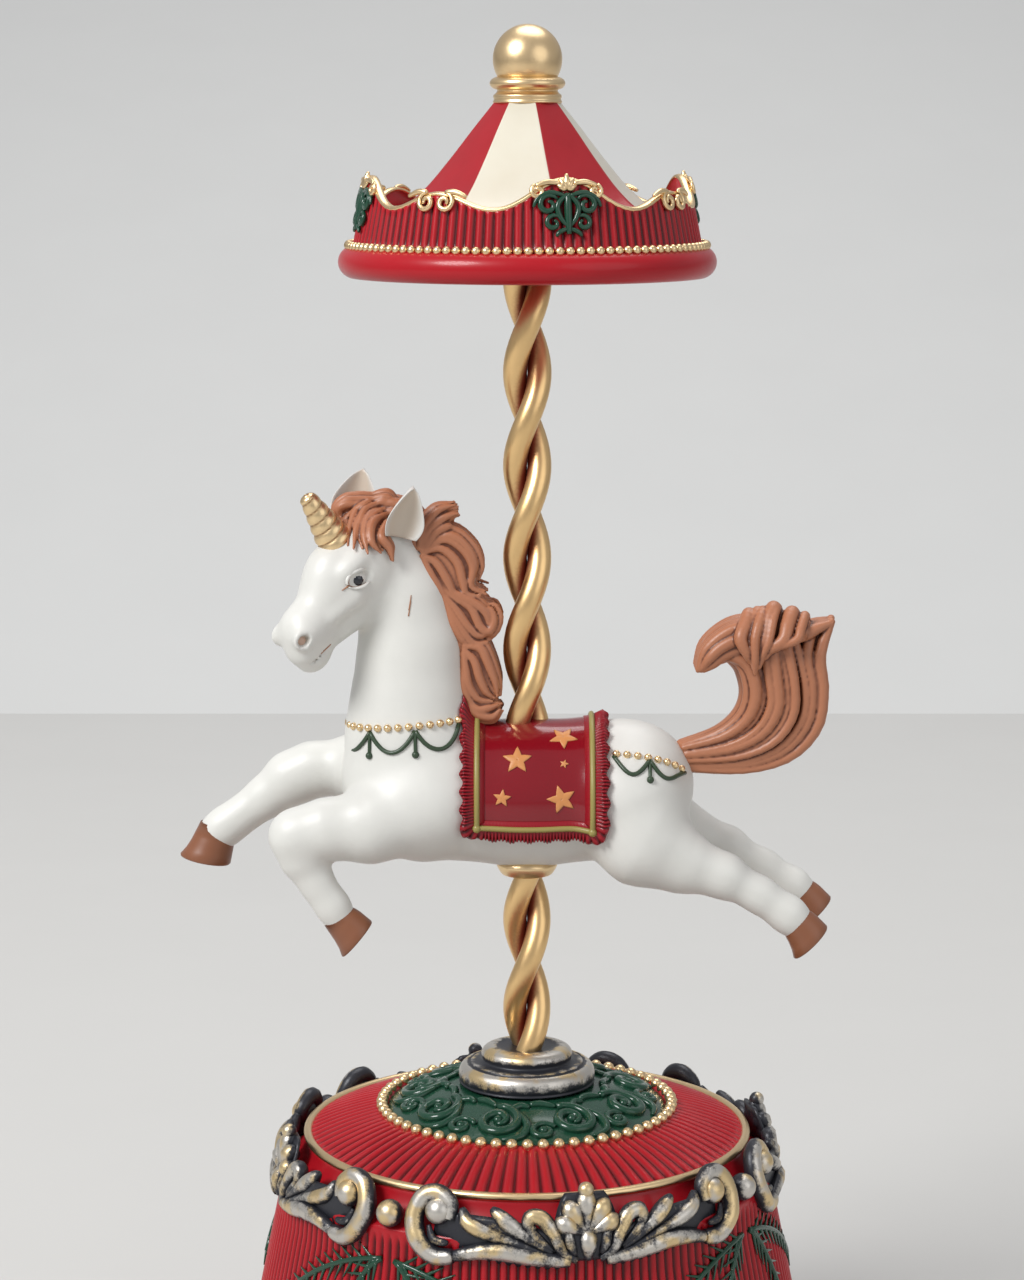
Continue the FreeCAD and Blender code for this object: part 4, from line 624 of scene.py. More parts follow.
def scroll_band():
    """Four palmettes, each between two scrolls with a volute, and a ball where two volutes meet."""
    turns = FRONT_ANGLE + np.arange(4) * QUARTER
    shapes = []
    ground = [
        (smooth_line([(0, -6.4), (0, -1.0), (0, 5.6)], 10), 5.2),
        (smooth_line([(4.0, -5.4), (13.0, -3.2), (21.0, -2.0), (28.6, -0.6)], 16), 3.6),
        (smooth_line([(-4.0, -5.4), (-13.0, -3.2), (-21.0, -2.0), (-28.6, -0.6)], 16), 3.6),
    ]
    for drawn, width in ground:
        shapes.append(band_relief(drawn, width, 0.16, turns, 0.0, (0.6, 0.9)))
    for lean in np.radians((-64, -34, 0, 34, 64)):
        drawn = petal(-1.6, 8.2 - 1.4 * abs(lean), lean, 14)
        shapes.append(band_relief(drawn, 1.6, 1.0, turns, 0.9, (0.3, 2.0)))
    stem = smooth_line([(0, -6.2), (0, -3.4), (0, -0.6)], 10)
    shapes.append(band_relief(stem, 1.5, 1.0, turns, 0.7, (0.4, 1.4)))
    scroll = [(3.4, -6.4), (10.0, -5.4), (15.3, -4.4), (20.0, -4.6), (24.6, -5.8)]
    volute = [
        (24.6, -5.8), (28.2, -6.0), (31.4, -3.4), (32.6, 0.6), (31.2, 4.2), (28.2, 5.2), (25.6, 3.4),
        (25.8, 0.8),
    ]
    long_leaf = [(7.0, -5.2), (14.1, -2.4), (18.8, -1.0), (22.2, 0.6), (23.4, 3.0)]
    middle_leaf = [(6.6, -4.6), (11.4, -1.6), (15.0, 0.9), (17.8, 3.2)]
    short_leaf = [(6.4, -4.2), (9.6, -1.6), (11.8, 0.8)]
    curl = [(2.2, -6.2), (4.6, -4.6), (6.2, -1.4), (8.2, 1.4), (10.4, 1.8), (10.8, 0.2), (9.6, -0.4)]
    bract = [(2.4, -5.2), (3.4, -2.6), (3.6, 0.0)]
    inner_curl = [(25.6, -3.4), (28.4, -3.0), (29.6, -0.6)]
    strokes = [
        (smooth_line(scroll, 26), 1.5, 0.9, (0.6, 0.9)),
        (smooth_line(volute, 40), 1.55, 1.0, (0.7, 0.6)),
        (smooth_line(long_leaf, 24), 1.35, 1.0, (0.3, 1.5)),
        (smooth_line(middle_leaf, 22), 1.35, 1.0, (0.3, 1.6)),
        (smooth_line(short_leaf, 16), 0.9, 0.9, (0.3, 1.2)),
        (smooth_line(curl, 30), 1.3, 1.0, (0.45, 1.2)),
        (smooth_line(bract, 12), 0.9, 1.0, (0.4, 1.0)),
        (smooth_line(inner_curl, 12), 0.7, 0.8, (0.5, 0.8)),
    ]
    for way in (1, -1):
        for drawn, width, rise, taper in strokes:
            shapes.append(band_relief(drawn * np.array([way, 1.0]), width, rise, turns, 0.8, taper))
        bulbs = [on_band(np.array([27.9 * way, 2.0]), a, 0.7) for a in turns]
        shapes.append(balls(bulbs, 2.6, 10, 16))
    meet = [on_band(np.array([38.0, 0.2]), a, 0.6) for a in turns]
    shapes.append(balls(meet, 2.6, 10, 16))
    shapes.append(balls([on_band(np.array([0.0, 6.4]), a, 1.6) for a in turns], 1.5, 8, 12))
    relief = join(*shapes)
    slope = np.clip(relief.points[:, 2] - BAND_TOP_Z, 0, None) * BAND_SLOPE
    height = np.hypot(relief.points[:, 0], relief.points[:, 1]) - BAND_R + slope
    relief.hollow = 1 - np.clip(height / BAND_RELIEF, 0, 1)
    return relief


def ring_of_beads(count, radius, z, bead):
    a = np.arange(count) / count * TAU
    centres = np.stack([radius * np.cos(a), radius * np.sin(a), np.full(count, z)], -1)
    return balls(centres, bead, 7, 9)


def turned_ring(radius, z, half):
    a = np.linspace(0, TAU, 12, endpoint=False)
    return lathe(np.stack([radius + half * np.cos(a), z + half * np.sin(a)], -1), 220)


def hub_turning():
    """A two-step turned foot with rounded edges and a cut line round each step. The third value of each
    row says how hollow it lies."""
    outline = [
        (0.2, 0, 1), (12.0, 0, 1), (13.1, 0.8, 0.6), (13.3, 2.0, 0.3), (12.9, 3.2, 0.05),
        (12.0, 3.9, 0.1), (11.2, 3.8, 0.7), (10.8, 4.2, 0.3), (9.4, 4.3, 0.6), (8.7, 4.7, 0.9),
        (8.9, 5.8, 0.3), (8.4, 6.7, 0.05), (7.4, 7.2, 0.1), (6.2, 7.35, 0.3), (5.0, 7.1, 0.7),
        (2.0, 6.9, 1), (0.2, 6.9, 1),
    ]
    curve = smooth_line(outline, 90)
    columns = 120
    hub = lathe(curve[:, :2] + np.array([0, HUB_Z]), columns)
    hub.hollow = np.repeat(curve[:, 2], columns)
    return hub


DRUM_MEAN_R = 52.0      # turns a length along the drum into an angle
SPRIG_Z = DRUM_TOP_Z + 1.5


def sprig(turn, way, along, drop):
    """A fir sprig on the drum: a twig that runs along and drops in a bow, with needles on both sides."""
    t = np.linspace(0, 1, 12)
    twig = np.stack([way * (1.5 + along * t), -drop * (0.25 * t + 0.75 * t**2)], -1)

    def on_drum(flat, proud):
        z = SPRIG_Z + flat[..., 1]
        r = DRUM_TOP_R + (DRUM_TOP_Z - z) * (DRUM_FOOT_R - DRUM_TOP_R) / (DRUM_TOP_Z - PLINTH_TOP_Z) + proud
        a = turn + flat[..., 0] / DRUM_MEAN_R
        return np.stack([r * np.cos(a), r * np.sin(a), z], -1)

    path = on_drum(twig, 0.1)
    shapes = [sweep(path, 0.55, 0.5, away(path), 7)]
    place = np.linspace(0.08, 1.0, 11)
    root = np.stack([np.interp(place, t, twig[:, i]) for i in (0, 1)], -1)
    run = unit(np.gradient(root, axis=0))
    beside = np.stack([-run[:, 1], run[:, 0]], -1)
    for side in (-1, 1):
        lean = 0.72 * run + 0.7 * side * beside
        reach = np.linspace(0, 1, 6)[None, :, None]
        needle = root[:, None] + reach * lean[:, None] * (4.6 - 1.8 * place)[:, None, None]
        path = on_drum(needle, 0.15)
        half = 0.42 * (1 - 0.7 * np.linspace(0, 1, 6))
        shapes.append(sweep(path, half, half * 0.9, away(path), 6))
    return join(*shapes)


def drum_sprigs():
    """A spray of fir sprigs under each ball of the scroll band, two long and two hanging."""
    meet = FRONT_ANGLE + QUARTER / 2 + np.arange(4) * QUARTER
    sizes = ((27.0, 13.0), (15.0, 30.0))
    return join(*[sprig(a, way, *size) for a in meet for way in (-1, 1) for size in sizes])


# Pole


def pole_strands():
    """Two round strands on one helix, half a turn apart, one of them facing front at a known height."""
    offset, radius, pitch, first = 2.32, 2.3, 35.4, HUB_TOP + 16.4
    z = np.linspace(POLE_Z, POLE_TOP, 420)
    shapes = []
    for half_turn in (0, math.pi):
        a = -math.pi / 2 + half_turn + (z - first) / pitch * TAU
        path = np.stack([offset * np.cos(a), offset * np.sin(a), z], -1)
        strand = sweep(path, radius, radius, away(path), 22)
        # The strands' inner sides, towards the valley between them, take the gold's dark ground: red bole and
        # painted shade.
        near = np.hypot(strand.points[:, 0], strand.points[:, 1]) / (offset + radius)
        strand.hollow = np.clip(1 - near, 0, 1) ** 1.5 * 1.3
        shapes.append(strand)
    return join(*shapes)


def collar_turning():
    z = low("belly_collar")[2]
    outline = [(4.75, z), (5.1, z + 0.3), (5.7, z + 1.3), (5.9, z + 2.2), (5.2, z + 3.2), (4.7, z + 3.2)]
    return lathe(smooth_line(outline, 26), 64)


# Canopy

VALANCE_VALLEY, VALANCE_SWELL = 7.7, 5.3
VALANCE_FOOT_R, VALANCE_TOP_R, VALANCE_WALL = 33.0, 30.4, 1.5
VALANCE_FLUTES = 112
VALANCE_CUT = 0.62      # depth of the flutes
RIM_BEADS_R = 33.7


def valance_edge(angle):
    """Height of the scalloped edge over the rim: high peaks, and low ones halfway between them."""
    a = 4 * (angle - FRONT_ANGLE)
    return VALANCE_VALLEY + VALANCE_SWELL * (0.375 + 0.25 * np.cos(a) + 0.375 * np.cos(2 * a))


def valance_radius(rise):
    return VALANCE_FOOT_R - (VALANCE_FOOT_R - VALANCE_TOP_R) / (VALANCE_VALLEY + VALANCE_SWELL) * rise


def valance_wall():
    """The leaning fluted wall: its outer face, its scalloped edge and its plain inner face in one loop."""
    columns = VALANCE_FLUTES * 8
    angle = np.arange(columns) / columns * TAU
    edge = valance_edge(angle)
    t = np.concatenate([np.linspace(0, 1, 14), [1.0, 0.6, 0.3, 0.0]])[:, None]
    inner = np.concatenate([np.zeros(14), np.ones(4)])[:, None]
    rise = t * edge
    flute = 1 - np.abs(np.cos(VALANCE_FLUTES * angle / 2)) ** 0.8
    cut = VALANCE_CUT * flute * np.clip(np.minimum(t, 1 - t) * 9, 0, 1) * (1 - inner)
    r = valance_radius(rise) - cut - inner * VALANCE_WALL
    points = np.stack([r * np.cos(angle), r * np.sin(angle), RIM_TOP + rise], -1)
    # The flutes' depth, kept as hollow, gives them painted shade in the red lacquer.
    hollow = cut / VALANCE_CUT * 0.85
    return outward(Shape(points, [quads(len(t), columns, True, True)], hollow))


def on_valance(flat, turn, proud=0.3):
    """Takes drawn points (along the wall, down from its edge) onto the valance at a turn."""
    a = turn + flat[..., 0] / VALANCE_TOP_R
    rise = valance_edge(turn) + flat[..., 1]
    r = valance_radius(rise) + proud
    return np.stack([r * np.cos(a), r * np.sin(a), RIM_TOP + rise], -1)


def valance_stroke(drawn, width, turns, proud=0.3, taper=0.35):
    t = np.linspace(0, 1, len(drawn))
    half = width * (taper + (1 - taper) * np.sin(np.pi * t**0.8))
    paths = np.stack([on_valance(drawn, a, proud) for a in turns])
    return sweep(paths, half, half, away(paths), 8)


def valance_gilding():
    """The gold edge, a shell crest on each high peak, and a pair of volutes on each low one."""
    a = np.arange(480) / 480 * TAU
    rise = valance_edge(a)
    r = valance_radius(rise) - VALANCE_WALL / 2
    edge = np.stack([r * np.cos(a), r * np.sin(a), RIM_TOP + rise], -1)
    shapes = [sweep(edge, 0.95, 0.5, (0, 0, 1), 8, True)]
    peaks = FRONT_ANGLE + np.arange(4) * QUARTER
    for lean in np.radians((-62, -31, 0, 31, 62)):
        shapes.append(valance_stroke(petal(-1.8, 2.9 - abs(lean) * 0.8, lean, 9), 0.7, peaks, 0.2))
    dips = peaks + QUARTER / 2
    for way in (-1, 1):
        roll = spiral((0, 0), 1.75, 0.4, math.pi / 2, -1.35, 24) + np.array([1.9, -1.4])
        arm = smooth_line([(1.9, 0.4), (4.0, 0.4), (6.0, -0.4)], 10)
        for drawn, width in ((roll, 0.55), (arm, 0.55)):
            shapes.append(valance_stroke(drawn * np.array([way, 1.0]), width, dips, 0.4, 0.6))
        small = spiral((5.2, -2.0), 1.3, 0.4, 1.2, -1.1, 16)
        shapes.append(valance_stroke(small * np.array([way, 1.0]), 0.5, peaks, 0.3, 0.6))
        arm = smooth_line([(1.2, -0.6), (3.4, -0.4), (5.6, -1.0)], 10)
        shapes.append(valance_stroke(arm * np.array([way, 1.0]), 0.55, peaks, 0.3, 0.6))
    return join(*shapes)


def valance_filigree():
    """A green openwork ornament below each shell crest: a kite of stems with curled leaves."""
    peaks = FRONT_ANGLE + np.arange(4) * QUARTER
    shapes = [valance_stroke(smooth_line([(0, -2.6), (0, -6.0), (0, -9.6)], 10), 0.75, peaks, 0.35, 0.6)]
    for way in (-1, 1):
        strokes = [
            (smooth_line([(0, -2.4), (1.8, -4.4), (1.4, -6.6), (0, -8.4)], 14), 0.55),
            (spiral((3.4, -4.4), 1.9, 0.5, 2.6, -1.2, 18), 0.55),
            (spiral((2.6, -7.6), 1.5, 0.4, 2.4, -1.1, 16), 0.5),
            (smooth_line([(0.4, -2.8), (3.0, -2.2), (5.2, -3.2), (6.0, -4.8)], 12), 0.5),
            (smooth_line([(0.2, -8.6), (1.6, -9.2), (2.2, -10.0)], 8), 0.45),
        ]
        for drawn, width in strokes:
            shapes.append(valance_stroke(drawn * np.array([way, 1.0]), width, peaks, 0.4, 0.5))
    return join(*shapes)


def rim_disc():
    middle = (RIM_Z + RIM_TOP) / 2
    swell = arc((RIM_R - 1.9, RIM_Z), (RIM_R, middle), (RIM_R - 1.9, RIM_TOP), 16)
    under = [(4.8, RIM_TOP - 0.5), (4.8, RIM_Z), (20, RIM_Z), (32, RIM_Z)]
    return lathe(np.concatenate([under, swell, [(30, RIM_TOP)]]), 200)


def roof_gores():
    """Eight scooped gores between raised ridges, sweeping out from the crown to the valance."""
    gore = 24
    columns = 8 * gore
    spine = smooth_line([(6.1, 27.2), (10.4, 22.0), (15.2, 16.0), (19.8, 10.8), (24.6, 7.0), (29.6, 5.2)], 40)
    rows = len(spine)
    angle = FRONT_ANGLE + np.arange(columns) / columns * TAU
    share = (np.arange(columns) % gore) / gore
    scoop = np.sin(np.pi * share) ** 0.8
    depth = 0.055 * spine[:, :1] * scoop
    r = spine[:, :1] - depth * 0.7
    z = RIM_TOP + spine[:, 1:] - depth * 0.75
    under = np.array([(29.6, 1.0), (5.0, 1.0), (5.0, 27.2)])
    r = np.concatenate([r, np.tile(under[:, :1], columns)])
    z = np.concatenate([z, np.tile(RIM_TOP + under[:, 1:], columns)])
    points = np.stack([r * np.cos(angle), r * np.sin(angle), z], -1)
    hollow = np.zeros(r.shape)
    # The lowest rows of the roof, behind the valance, are marked hollow to take painted shade.
    hollow[rows - 5 : rows] = np.linspace(0, 0.9, 5)[:, None]
    return outward(Shape(points, [quads(len(r), columns, True, True)], hollow))


def finial_turning():
    """A ball on a collared neck."""
    ball_r = 6.5
    mid = FINIAL_TOP - ball_r
    seat = low("finial")[2] + 5.0
    a = np.radians(np.linspace(89.5, -54, 26))
    ball = np.stack([ball_r * np.cos(a), mid + ball_r * np.sin(a)], -1)
    neck = [
        (4.6, mid - 5.0), (5.0, seat + 4.4), (6.6, seat + 4.0), (7.1, seat + 3.1), (6.6, seat + 2.3),
        (5.7, seat + 1.9), (5.9, seat + 1.4), (6.4, seat + 0.9), (6.3, seat + 0.2), (6.0, seat - 0.6),
        (0.2, seat - 0.6),
    ]
    return lathe(np.concatenate([ball, smooth_line(neck, 50)]), 96)


# Unicorn, in millimetres from the middle of its trunk; it faces -X and its near side is -Y


class Clay:
    """A distance field on a grid of points, built up and cut away, then skinned."""

    FAR = 9.0

    def __init__(self, xs, ys, zs):
        self.axes = [np.asarray(a, np.float32) for a in (xs, ys, zs)]
        self.field = np.full([len(a) for a in self.axes], self.FAR, np.float32)

    def block(self, lows, highs, margin):
        cuts = []
        for axis, a, b in zip(self.axes, lows, highs):
            cuts.append(slice(np.searchsorted(axis, a - margin), np.searchsorted(axis, b + margin)))
        grid = np.meshgrid(*[axis[c] for axis, c in zip(self.axes, cuts)], indexing="ij", sparse=True)
        return tuple(cuts), grid

    def blend(self, cuts, distance, soft):
        """Joins a distance to the field."""
        self.field[cuts] = soft_min(self.field[cuts], distance, soft)

    def ball(self, centre, radii, soft):
        """An ellipsoid about a centre."""
        c, r = np.asarray(centre, float), np.asarray(radii, float)
        cuts, (x, y, z) = self.block(c - r, c + r, soft + 3)
        self.blend(cuts, egg(x - c[0], y - c[1], z - c[2], r), soft)

    def limb(self, stations, soft, wide=1.0, margin=3.0):
        """Tapering round links through (x, y, z, radius) stations, made wider or thinner across Y."""
        s = np.asarray(stations, float)
        for a, b in zip(s, s[1:]):
            top = max(a[3], b[3]) * max(wide, 1)
            lows, highs = np.minimum(a, b)[:3] - top, np.maximum(a, b)[:3] + top
            cuts, (x, y, z) = self.block(lows, highs, soft + margin)
            self.blend(cuts, link(x, y, z, a, b, wide), soft)

    def sample(self, points):
        """The field between grid points, by weighing the eight corners round each place."""
        index, share = [], []
        for i, axis in enumerate(self.axes):
            p = np.clip(points[..., i], axis[0], axis[-1] - 1e-4)
            k = np.clip(np.searchsorted(axis, p, side="right") - 1, 0, len(axis) - 2)
            index.append(k)
            share.append((p - axis[k]) / (axis[k + 1] - axis[k]))
        total = 0
        for corner in np.ndindex(2, 2, 2):
            weight = 1
            for c, f in zip(corner, share):
                weight = weight * (f if c else 1 - f)
            total = total + weight * self.field[tuple(k + c for k, c in zip(index, corner))]
        return total

    def reach(self, origins, ways, far=20.0, steps=110):
        """How far the skin lies from inner points along the given ways: the first change of sign."""
        t = np.linspace(0.5, far, steps)
        origins, ways = np.broadcast_arrays(origins, ways)
        values = self.sample(origins[..., None, :] + ways[..., None, :] * t[:, None])
        first = np.argmax(values > 0, -1)
        first = np.clip(first, 1, steps - 1)
        before = np.take_along_axis(values, first[..., None] - 1, -1)[..., 0]
        after = np.take_along_axis(values, first[..., None], -1)[..., 0]
        return t[first - 1] + (t[first] - t[first - 1]) * np.clip(before / (before - after - 1e-9), 0, 1)

    def skin(self):
        """A closed skin where the field changes sign: in each crossed cell a point at the mean of the
        crossings on its edges, and round each crossed edge a quad of the four cells that share it."""
        f = self.field
        shape = np.array(f.shape) - 1
        cells, spots, rings = [], [], []
        for axis in range(3):
            head = [slice(None)] * 3
            tail = [slice(None)] * 3
            head[axis], tail[axis] = slice(None, -1), slice(1, None)
            a, b = f[tuple(head)], f[tuple(tail)]
            at = np.argwhere((a < 0) != (b < 0))
            at = at[((at > 0) & (at < shape))[:, [i for i in range(3) if i != axis]].all(1)]
            fa, fb = a[tuple(at.T)], b[tuple(at.T)]
            spot = np.stack([self.axes[i][at[:, i]] for i in range(3)], -1).astype(float)
            line_axis = self.axes[axis]
            spot[:, axis] += fa / (fa - fb) * (line_axis[at[:, axis] + 1] - line_axis[at[:, axis]])
            o1, o2 = [i for i in range(3) if i != axis]
            around = []
            for d1, d2 in ((0, 0), (1, 0), (1, 1), (0, 1)):
                cell = at.copy()
                cell[:, o1] -= d1
                cell[:, o2] -= d2
                around.append(np.ravel_multi_index(tuple(cell.T), shape))
            ring = np.stack(around, -1)
            turned = (fa < 0) != (axis == 1)
            rings.append(np.where(turned[:, None], ring, ring[:, ::-1]))
            cells.append(ring.T.ravel())
            spots.append(np.tile(spot, (4, 1)))
        cells, spots, rings = np.concatenate(cells), np.concatenate(spots), np.concatenate(rings)
        used, inverse = np.unique(cells, return_inverse=True)
        count = np.bincount(inverse)
        points = np.stack([np.bincount(inverse, spots[:, i]) / count for i in range(3)], -1)
        faces = np.searchsorted(used, rings)
        return points, faces


def relaxed(points, faces, rounds=2, share=0.5):
    """Draws each point towards the mean of its neighbours a few times."""
    ends = np.concatenate([faces[:, [i, (i + 1) % 4]] for i in range(4)])
    ends = np.concatenate([ends, ends[:, ::-1]])
    count = np.bincount(ends[:, 0], minlength=len(points))[:, None]
    for _ in range(rounds):
        sums = [np.bincount(ends[:, 0], points[ends[:, 1], i], len(points)) for i in range(3)]
        points = points + share * (np.stack(sums, -1) / count - points)
    return points


def egg(x, y, z, r):
    """About the distance to an ellipsoid: k0 (k0 - 1) / k1 of the scaled place."""
    k0 = np.sqrt((x / r[0]) ** 2 + (y / r[1]) ** 2 + (z / r[2]) ** 2) + 1e-6
    k1 = np.sqrt((x / r[0] ** 2) ** 2 + (y / r[1] ** 2) ** 2 + (z / r[2] ** 2) ** 2) + 1e-6
    return k0 * (k0 - 1) / k1


def link(x, y, z, a, b, wide=1.0):
    """Distance to a tapering round link from a to b, (x, y, z, radius) each."""
    d = b[:3] - a[:3]
    t = np.clip(((x - a[0]) * d[0] + (y - a[1]) * d[1] + (z - a[2]) * d[2]) / (d @ d), 0, 1)
    gap = (x - a[0] - t * d[0]) ** 2 + ((y - a[1] - t * d[1]) / wide) ** 2 + (z - a[2] - t * d[2]) ** 2
    return np.sqrt(gap) - (a[3] + t * (b[3] - a[3]))


def soft_min(a, b, soft):
    """The lesser of two distances, with the corner between them rounded over a softness."""
    h = np.maximum(soft - np.abs(a - b), 0) / soft
    return np.minimum(a, b) - h * h * soft / 4


SKULL = np.array([-29.0, -1.0, 44.7])
MUZZLE = np.array([-44.3, -11.5, 29.9])
ALONG = unit(MUZZLE - SKULL)
LEFT = unit(np.cross((0, 0, 1.0), ALONG))
BROW = unit(np.cross(ALONG, LEFT))
EYE_ALONG, EYE_OUT, EYE_RISE = 6.9, 4.9, 3.3
EYE_R = 2.0
EYE_TILT = 0.25         # rise of the almond along the head
NOSTRIL = (22.7, 1.6)


def of_head(u, w, n):
    """Places in the head's own directions: along to the muzzle, to its left, and up from its brow."""
    return SKULL + np.multiply.outer(u, ALONG) + np.multiply.outer(w, LEFT) + np.multiply.outer(n, BROW)


def head_distance(u, w, n):
    """The head: cranium, cheeks, tapering face, muzzle, lips and brows, with nostrils and mouth cut in.
    Both sides are alike, so distances use the side's width alone."""
    v = np.abs(w)
    d = egg(u + 1.2, w, n - 1.6, (8.6, 6.7, 8.2))
    d = soft_min(d, egg(u - 7.5, w, n - 3.6, (7.6, 5.6, 7.0)), 3.0)
    d = soft_min(d, egg(u - 1.6, v - 2.7, n + 3.9, (7.4, 3.9, 6.2)), 3.0)
    d = soft_min(d, link(u, w, n, np.array([3.0, 0, 2.4, 6.6]), np.array([19.0, 0, 1.4, 4.2])), 3.0)
    d = soft_min(d, link(u, w, n, np.array([5.0, 0, -4.6, 3.4]), np.array([18.0, 0, -3.2, 2.6])), 3.0)
    d = soft_min(d, egg(u - 19.6, w, n - 0.1, (4.8, 4.7, 4.8)), 2.5)
    d = soft_min(d, egg(u - 21.4, v - 3.0, n - 1.4, (2.6, 1.9, 2.3)), 1.4)
    d = soft_min(d, egg(u - 22.5, w, n + 2.0, (2.9, 3.8, 3.0)), 1.6)
    d = soft_min(d, egg(u - 21.4, w, n + 4.7, (3.4, 3.2, 2.4)), 1.4)
    d = soft_min(d, egg(u - 5.6, v - 5.2, n - 5.8, (3.8, 1.7, 1.6)), 1.6)
    d = soft_min(d, link(u, v, n, np.array([9.5, 5.0, 0.6, 1.5]), np.array([15.0, 4.1, 0.6, 0.9])), 2.0)
    nostril_rim = np.sqrt((np.hypot(u - NOSTRIL[0], n - NOSTRIL[1]) - 1.5) ** 2 + (v - 4.1) ** 2) - 0.5
    d = soft_min(d, nostril_rim, 0.9)
    d = np.maximum(d, -egg(u - NOSTRIL[0], v - 4.6, n - NOSTRIL[1], (1.35, 1.3, 1.05)))
    groove = link(u, v, n, np.array([23.4, 2.8, -3.7, 0.30]), np.array([18.2, 4.1, -3.2, 0.30]))
    d = np.maximum(d, -groove)
    d = np.maximum(d, -egg(u - EYE_ALONG, v - 7.4, n - EYE_RISE, (2.7, 1.35, 1.8)))
    return d


def spaced(stops):
    """Grid lines with a different spacing in each stretch, from (start, end, spacing)."""
    runs = [np.linspace(a, b, max(int(round((b - a) / s)), 1), endpoint=False) for a, b, s in stops]
    return np.concatenate(runs + [[stops[-1][1]]])


LEGS = {
    "near_fore": (
        (-18, -6.8, -1, 8.2), (-30, -8.6, -5.0, 6.6), (-38.5, -9.3, -5.6, 5.4), (-44.0, -9.5, -6.8, 4.6),
        (-43.0, -9.5, -11.4, 3.5), (-40.0, -9.5, -16.4, 2.8), (-37.2, -9.4, -20.6, 2.8),
        (-35.6, -9.3, -23.4, 2.7),
    ),
    "far_fore": (
        (-20, 6.8, 3, 7.4), (-33, 8.4, 3.4, 5.8), (-42, 9.1, 2.5, 4.9), (-46.4, 9.4, 0.6, 4.6),
        (-51.4, 9.4, -3.2, 3.6), (-56.0, 9.4, -6.6, 3.1), (-59.6, 9.4, -9.2, 3.3), (-61.4, 9.4, -10.6, 3.2),
    ),
    "near_hind": (
        (19, -6.6, -1, 9.6), (22.6, -8.0, -8.2, 8.2), (29.8, -8.8, -12.0, 5.3), (37.6, -9.2, -14.6, 3.7),
        (44.6, -9.2, -18.4, 2.9), (50.0, -9.2, -22.2, 3.0), (51.8, -9.2, -23.8, 2.8),
    ),
    "far_hind": (
        (19.5, 6.6, 0, 9.6), (24.4, 8.0, -7.6, 7.8), (31.8, 8.8, -10.6, 5.0), (39.2, 9.2, -13.0, 3.5),
        (46.6, 9.2, -17.0, 2.8), (52.4, 9.2, -20.8, 2.9), (54.2, 9.2, -22.4, 2.7),
    ),
}


def unicorn_clay():
    """The whole animal but its hooves, ears, horn and hair."""
    clay = Clay(
        spaced([(-68, -52, 0.55), (-52, -18, 0.34), (-18, 61, 0.55)]),
        spaced([(-19, 17, 0.44)]),
        spaced([(-33, 19, 0.55), (19, 57, 0.34)]),
    )
    clay.ball((0, 0, -0.7), (25, 12.6, 13.9), 4)
    clay.ball((-21.5, 0, 0.8), (13.4, 11.0, 12.8), 8)
    clay.ball((19.8, 0, 1.4), (12.4, 11.2, 12.4), 8)
    clay.ball((-29.0, 0, 4.6), (5.4, 7.4, 8.4), 5)
    for side in (-1, 1):
        clay.ball((20.4, side * 6.2, -2.8), (9.4, 6.0, 10.6), 4)
        clay.ball((-20.6, side * 5.8, 0.4), (8.6, 6.0, 12.2), 4)
    neck = [
        (-19.5, 0, 5, 12.4), (-22.4, 0, 13, 11.7), (-22.3, 0, 21, 10.3), (-22.2, 0, 29, 9.4),
        (-23.6, 0, 38, 8.3), (-26.2, 0, 45.5, 7.2),
    ]
    clay.limb(neck, 3.5, 0.82)
    for name, stations in LEGS.items():
        clay.limb(stations, 3.0 if "fore" in name else 3.5, 0.9)
    for stations in LEGS.values():
        knee = np.array(stations[3])
        clay.ball(knee[:3], knee[3] * np.array([1.02, 0.94, 1.02]), 1.5)
    cuts, (x, y, z) = clay.block(SKULL - 26, SKULL + 22, 4)
    place = [x - SKULL[0], y - SKULL[1], z - SKULL[2]]
    u, w, n = (sum(p * k for p, k in zip(place, way)) for way in (ALONG, LEFT, BROW))
    clay.blend(cuts, head_distance(u, w, n), 1.6)
    return clay


def sunken(clay, points, out, flat, gain):
    """How sunken the skin is: the field's mean a little way out along each axis falls where hollows close
    in, and is zero on a flat skin."""
    ways = np.concatenate([np.eye(3), -np.eye(3)])
    mean = sum(clay.sample(points + out * way) for way in ways) / len(ways)
    return np.clip(flat - gain * mean / out, 0, 1)


def hoof_shape(end, down, toe, scale):
    """A hoof: ovals from the coronet to a wider sole, with a rounded sole edge. Each row gives the share
    of the hoof's height, the size of its oval, and how far that lies ahead."""
    across = np.array([0, 1.0, 0])
    columns = 28
    angle = np.arange(columns) / columns * TAU
    rows = [
        (-0.6, 0.80, 0), (0.0, 1.0, 0), (0.25, 1.06, 0.1), (0.6, 1.14, 0.4), (0.94, 1.26, 0.85),
        (1.0, 1.22, 0.9), (1.0, 0.5, 0.9),
    ]
    points = []
    for share, size, ahead in rows:
        middle = end + scale * (down * share * 4.9 + toe * ahead * 1.1)
        wide = scale * size * (toe * 4.2 * np.cos(angle)[:, None] + across * 3.8 * np.sin(angle)[:, None])
        points.append(middle + wide)
    ring = np.concatenate(points)
    tips = np.array([end - down * scale * 2.8, end + scale * (down * 4.8 + toe)])
    n = len(ring)
    here = np.arange(columns)
    there = (here + 1) % columns
    last = n - columns
    faces = [
        quads(len(rows), columns, False, True),
        fan(n, there, here),
        fan(n + 1, last + here, last + there),
    ]
    return outward(Shape(np.concatenate([ring, tips]), faces))


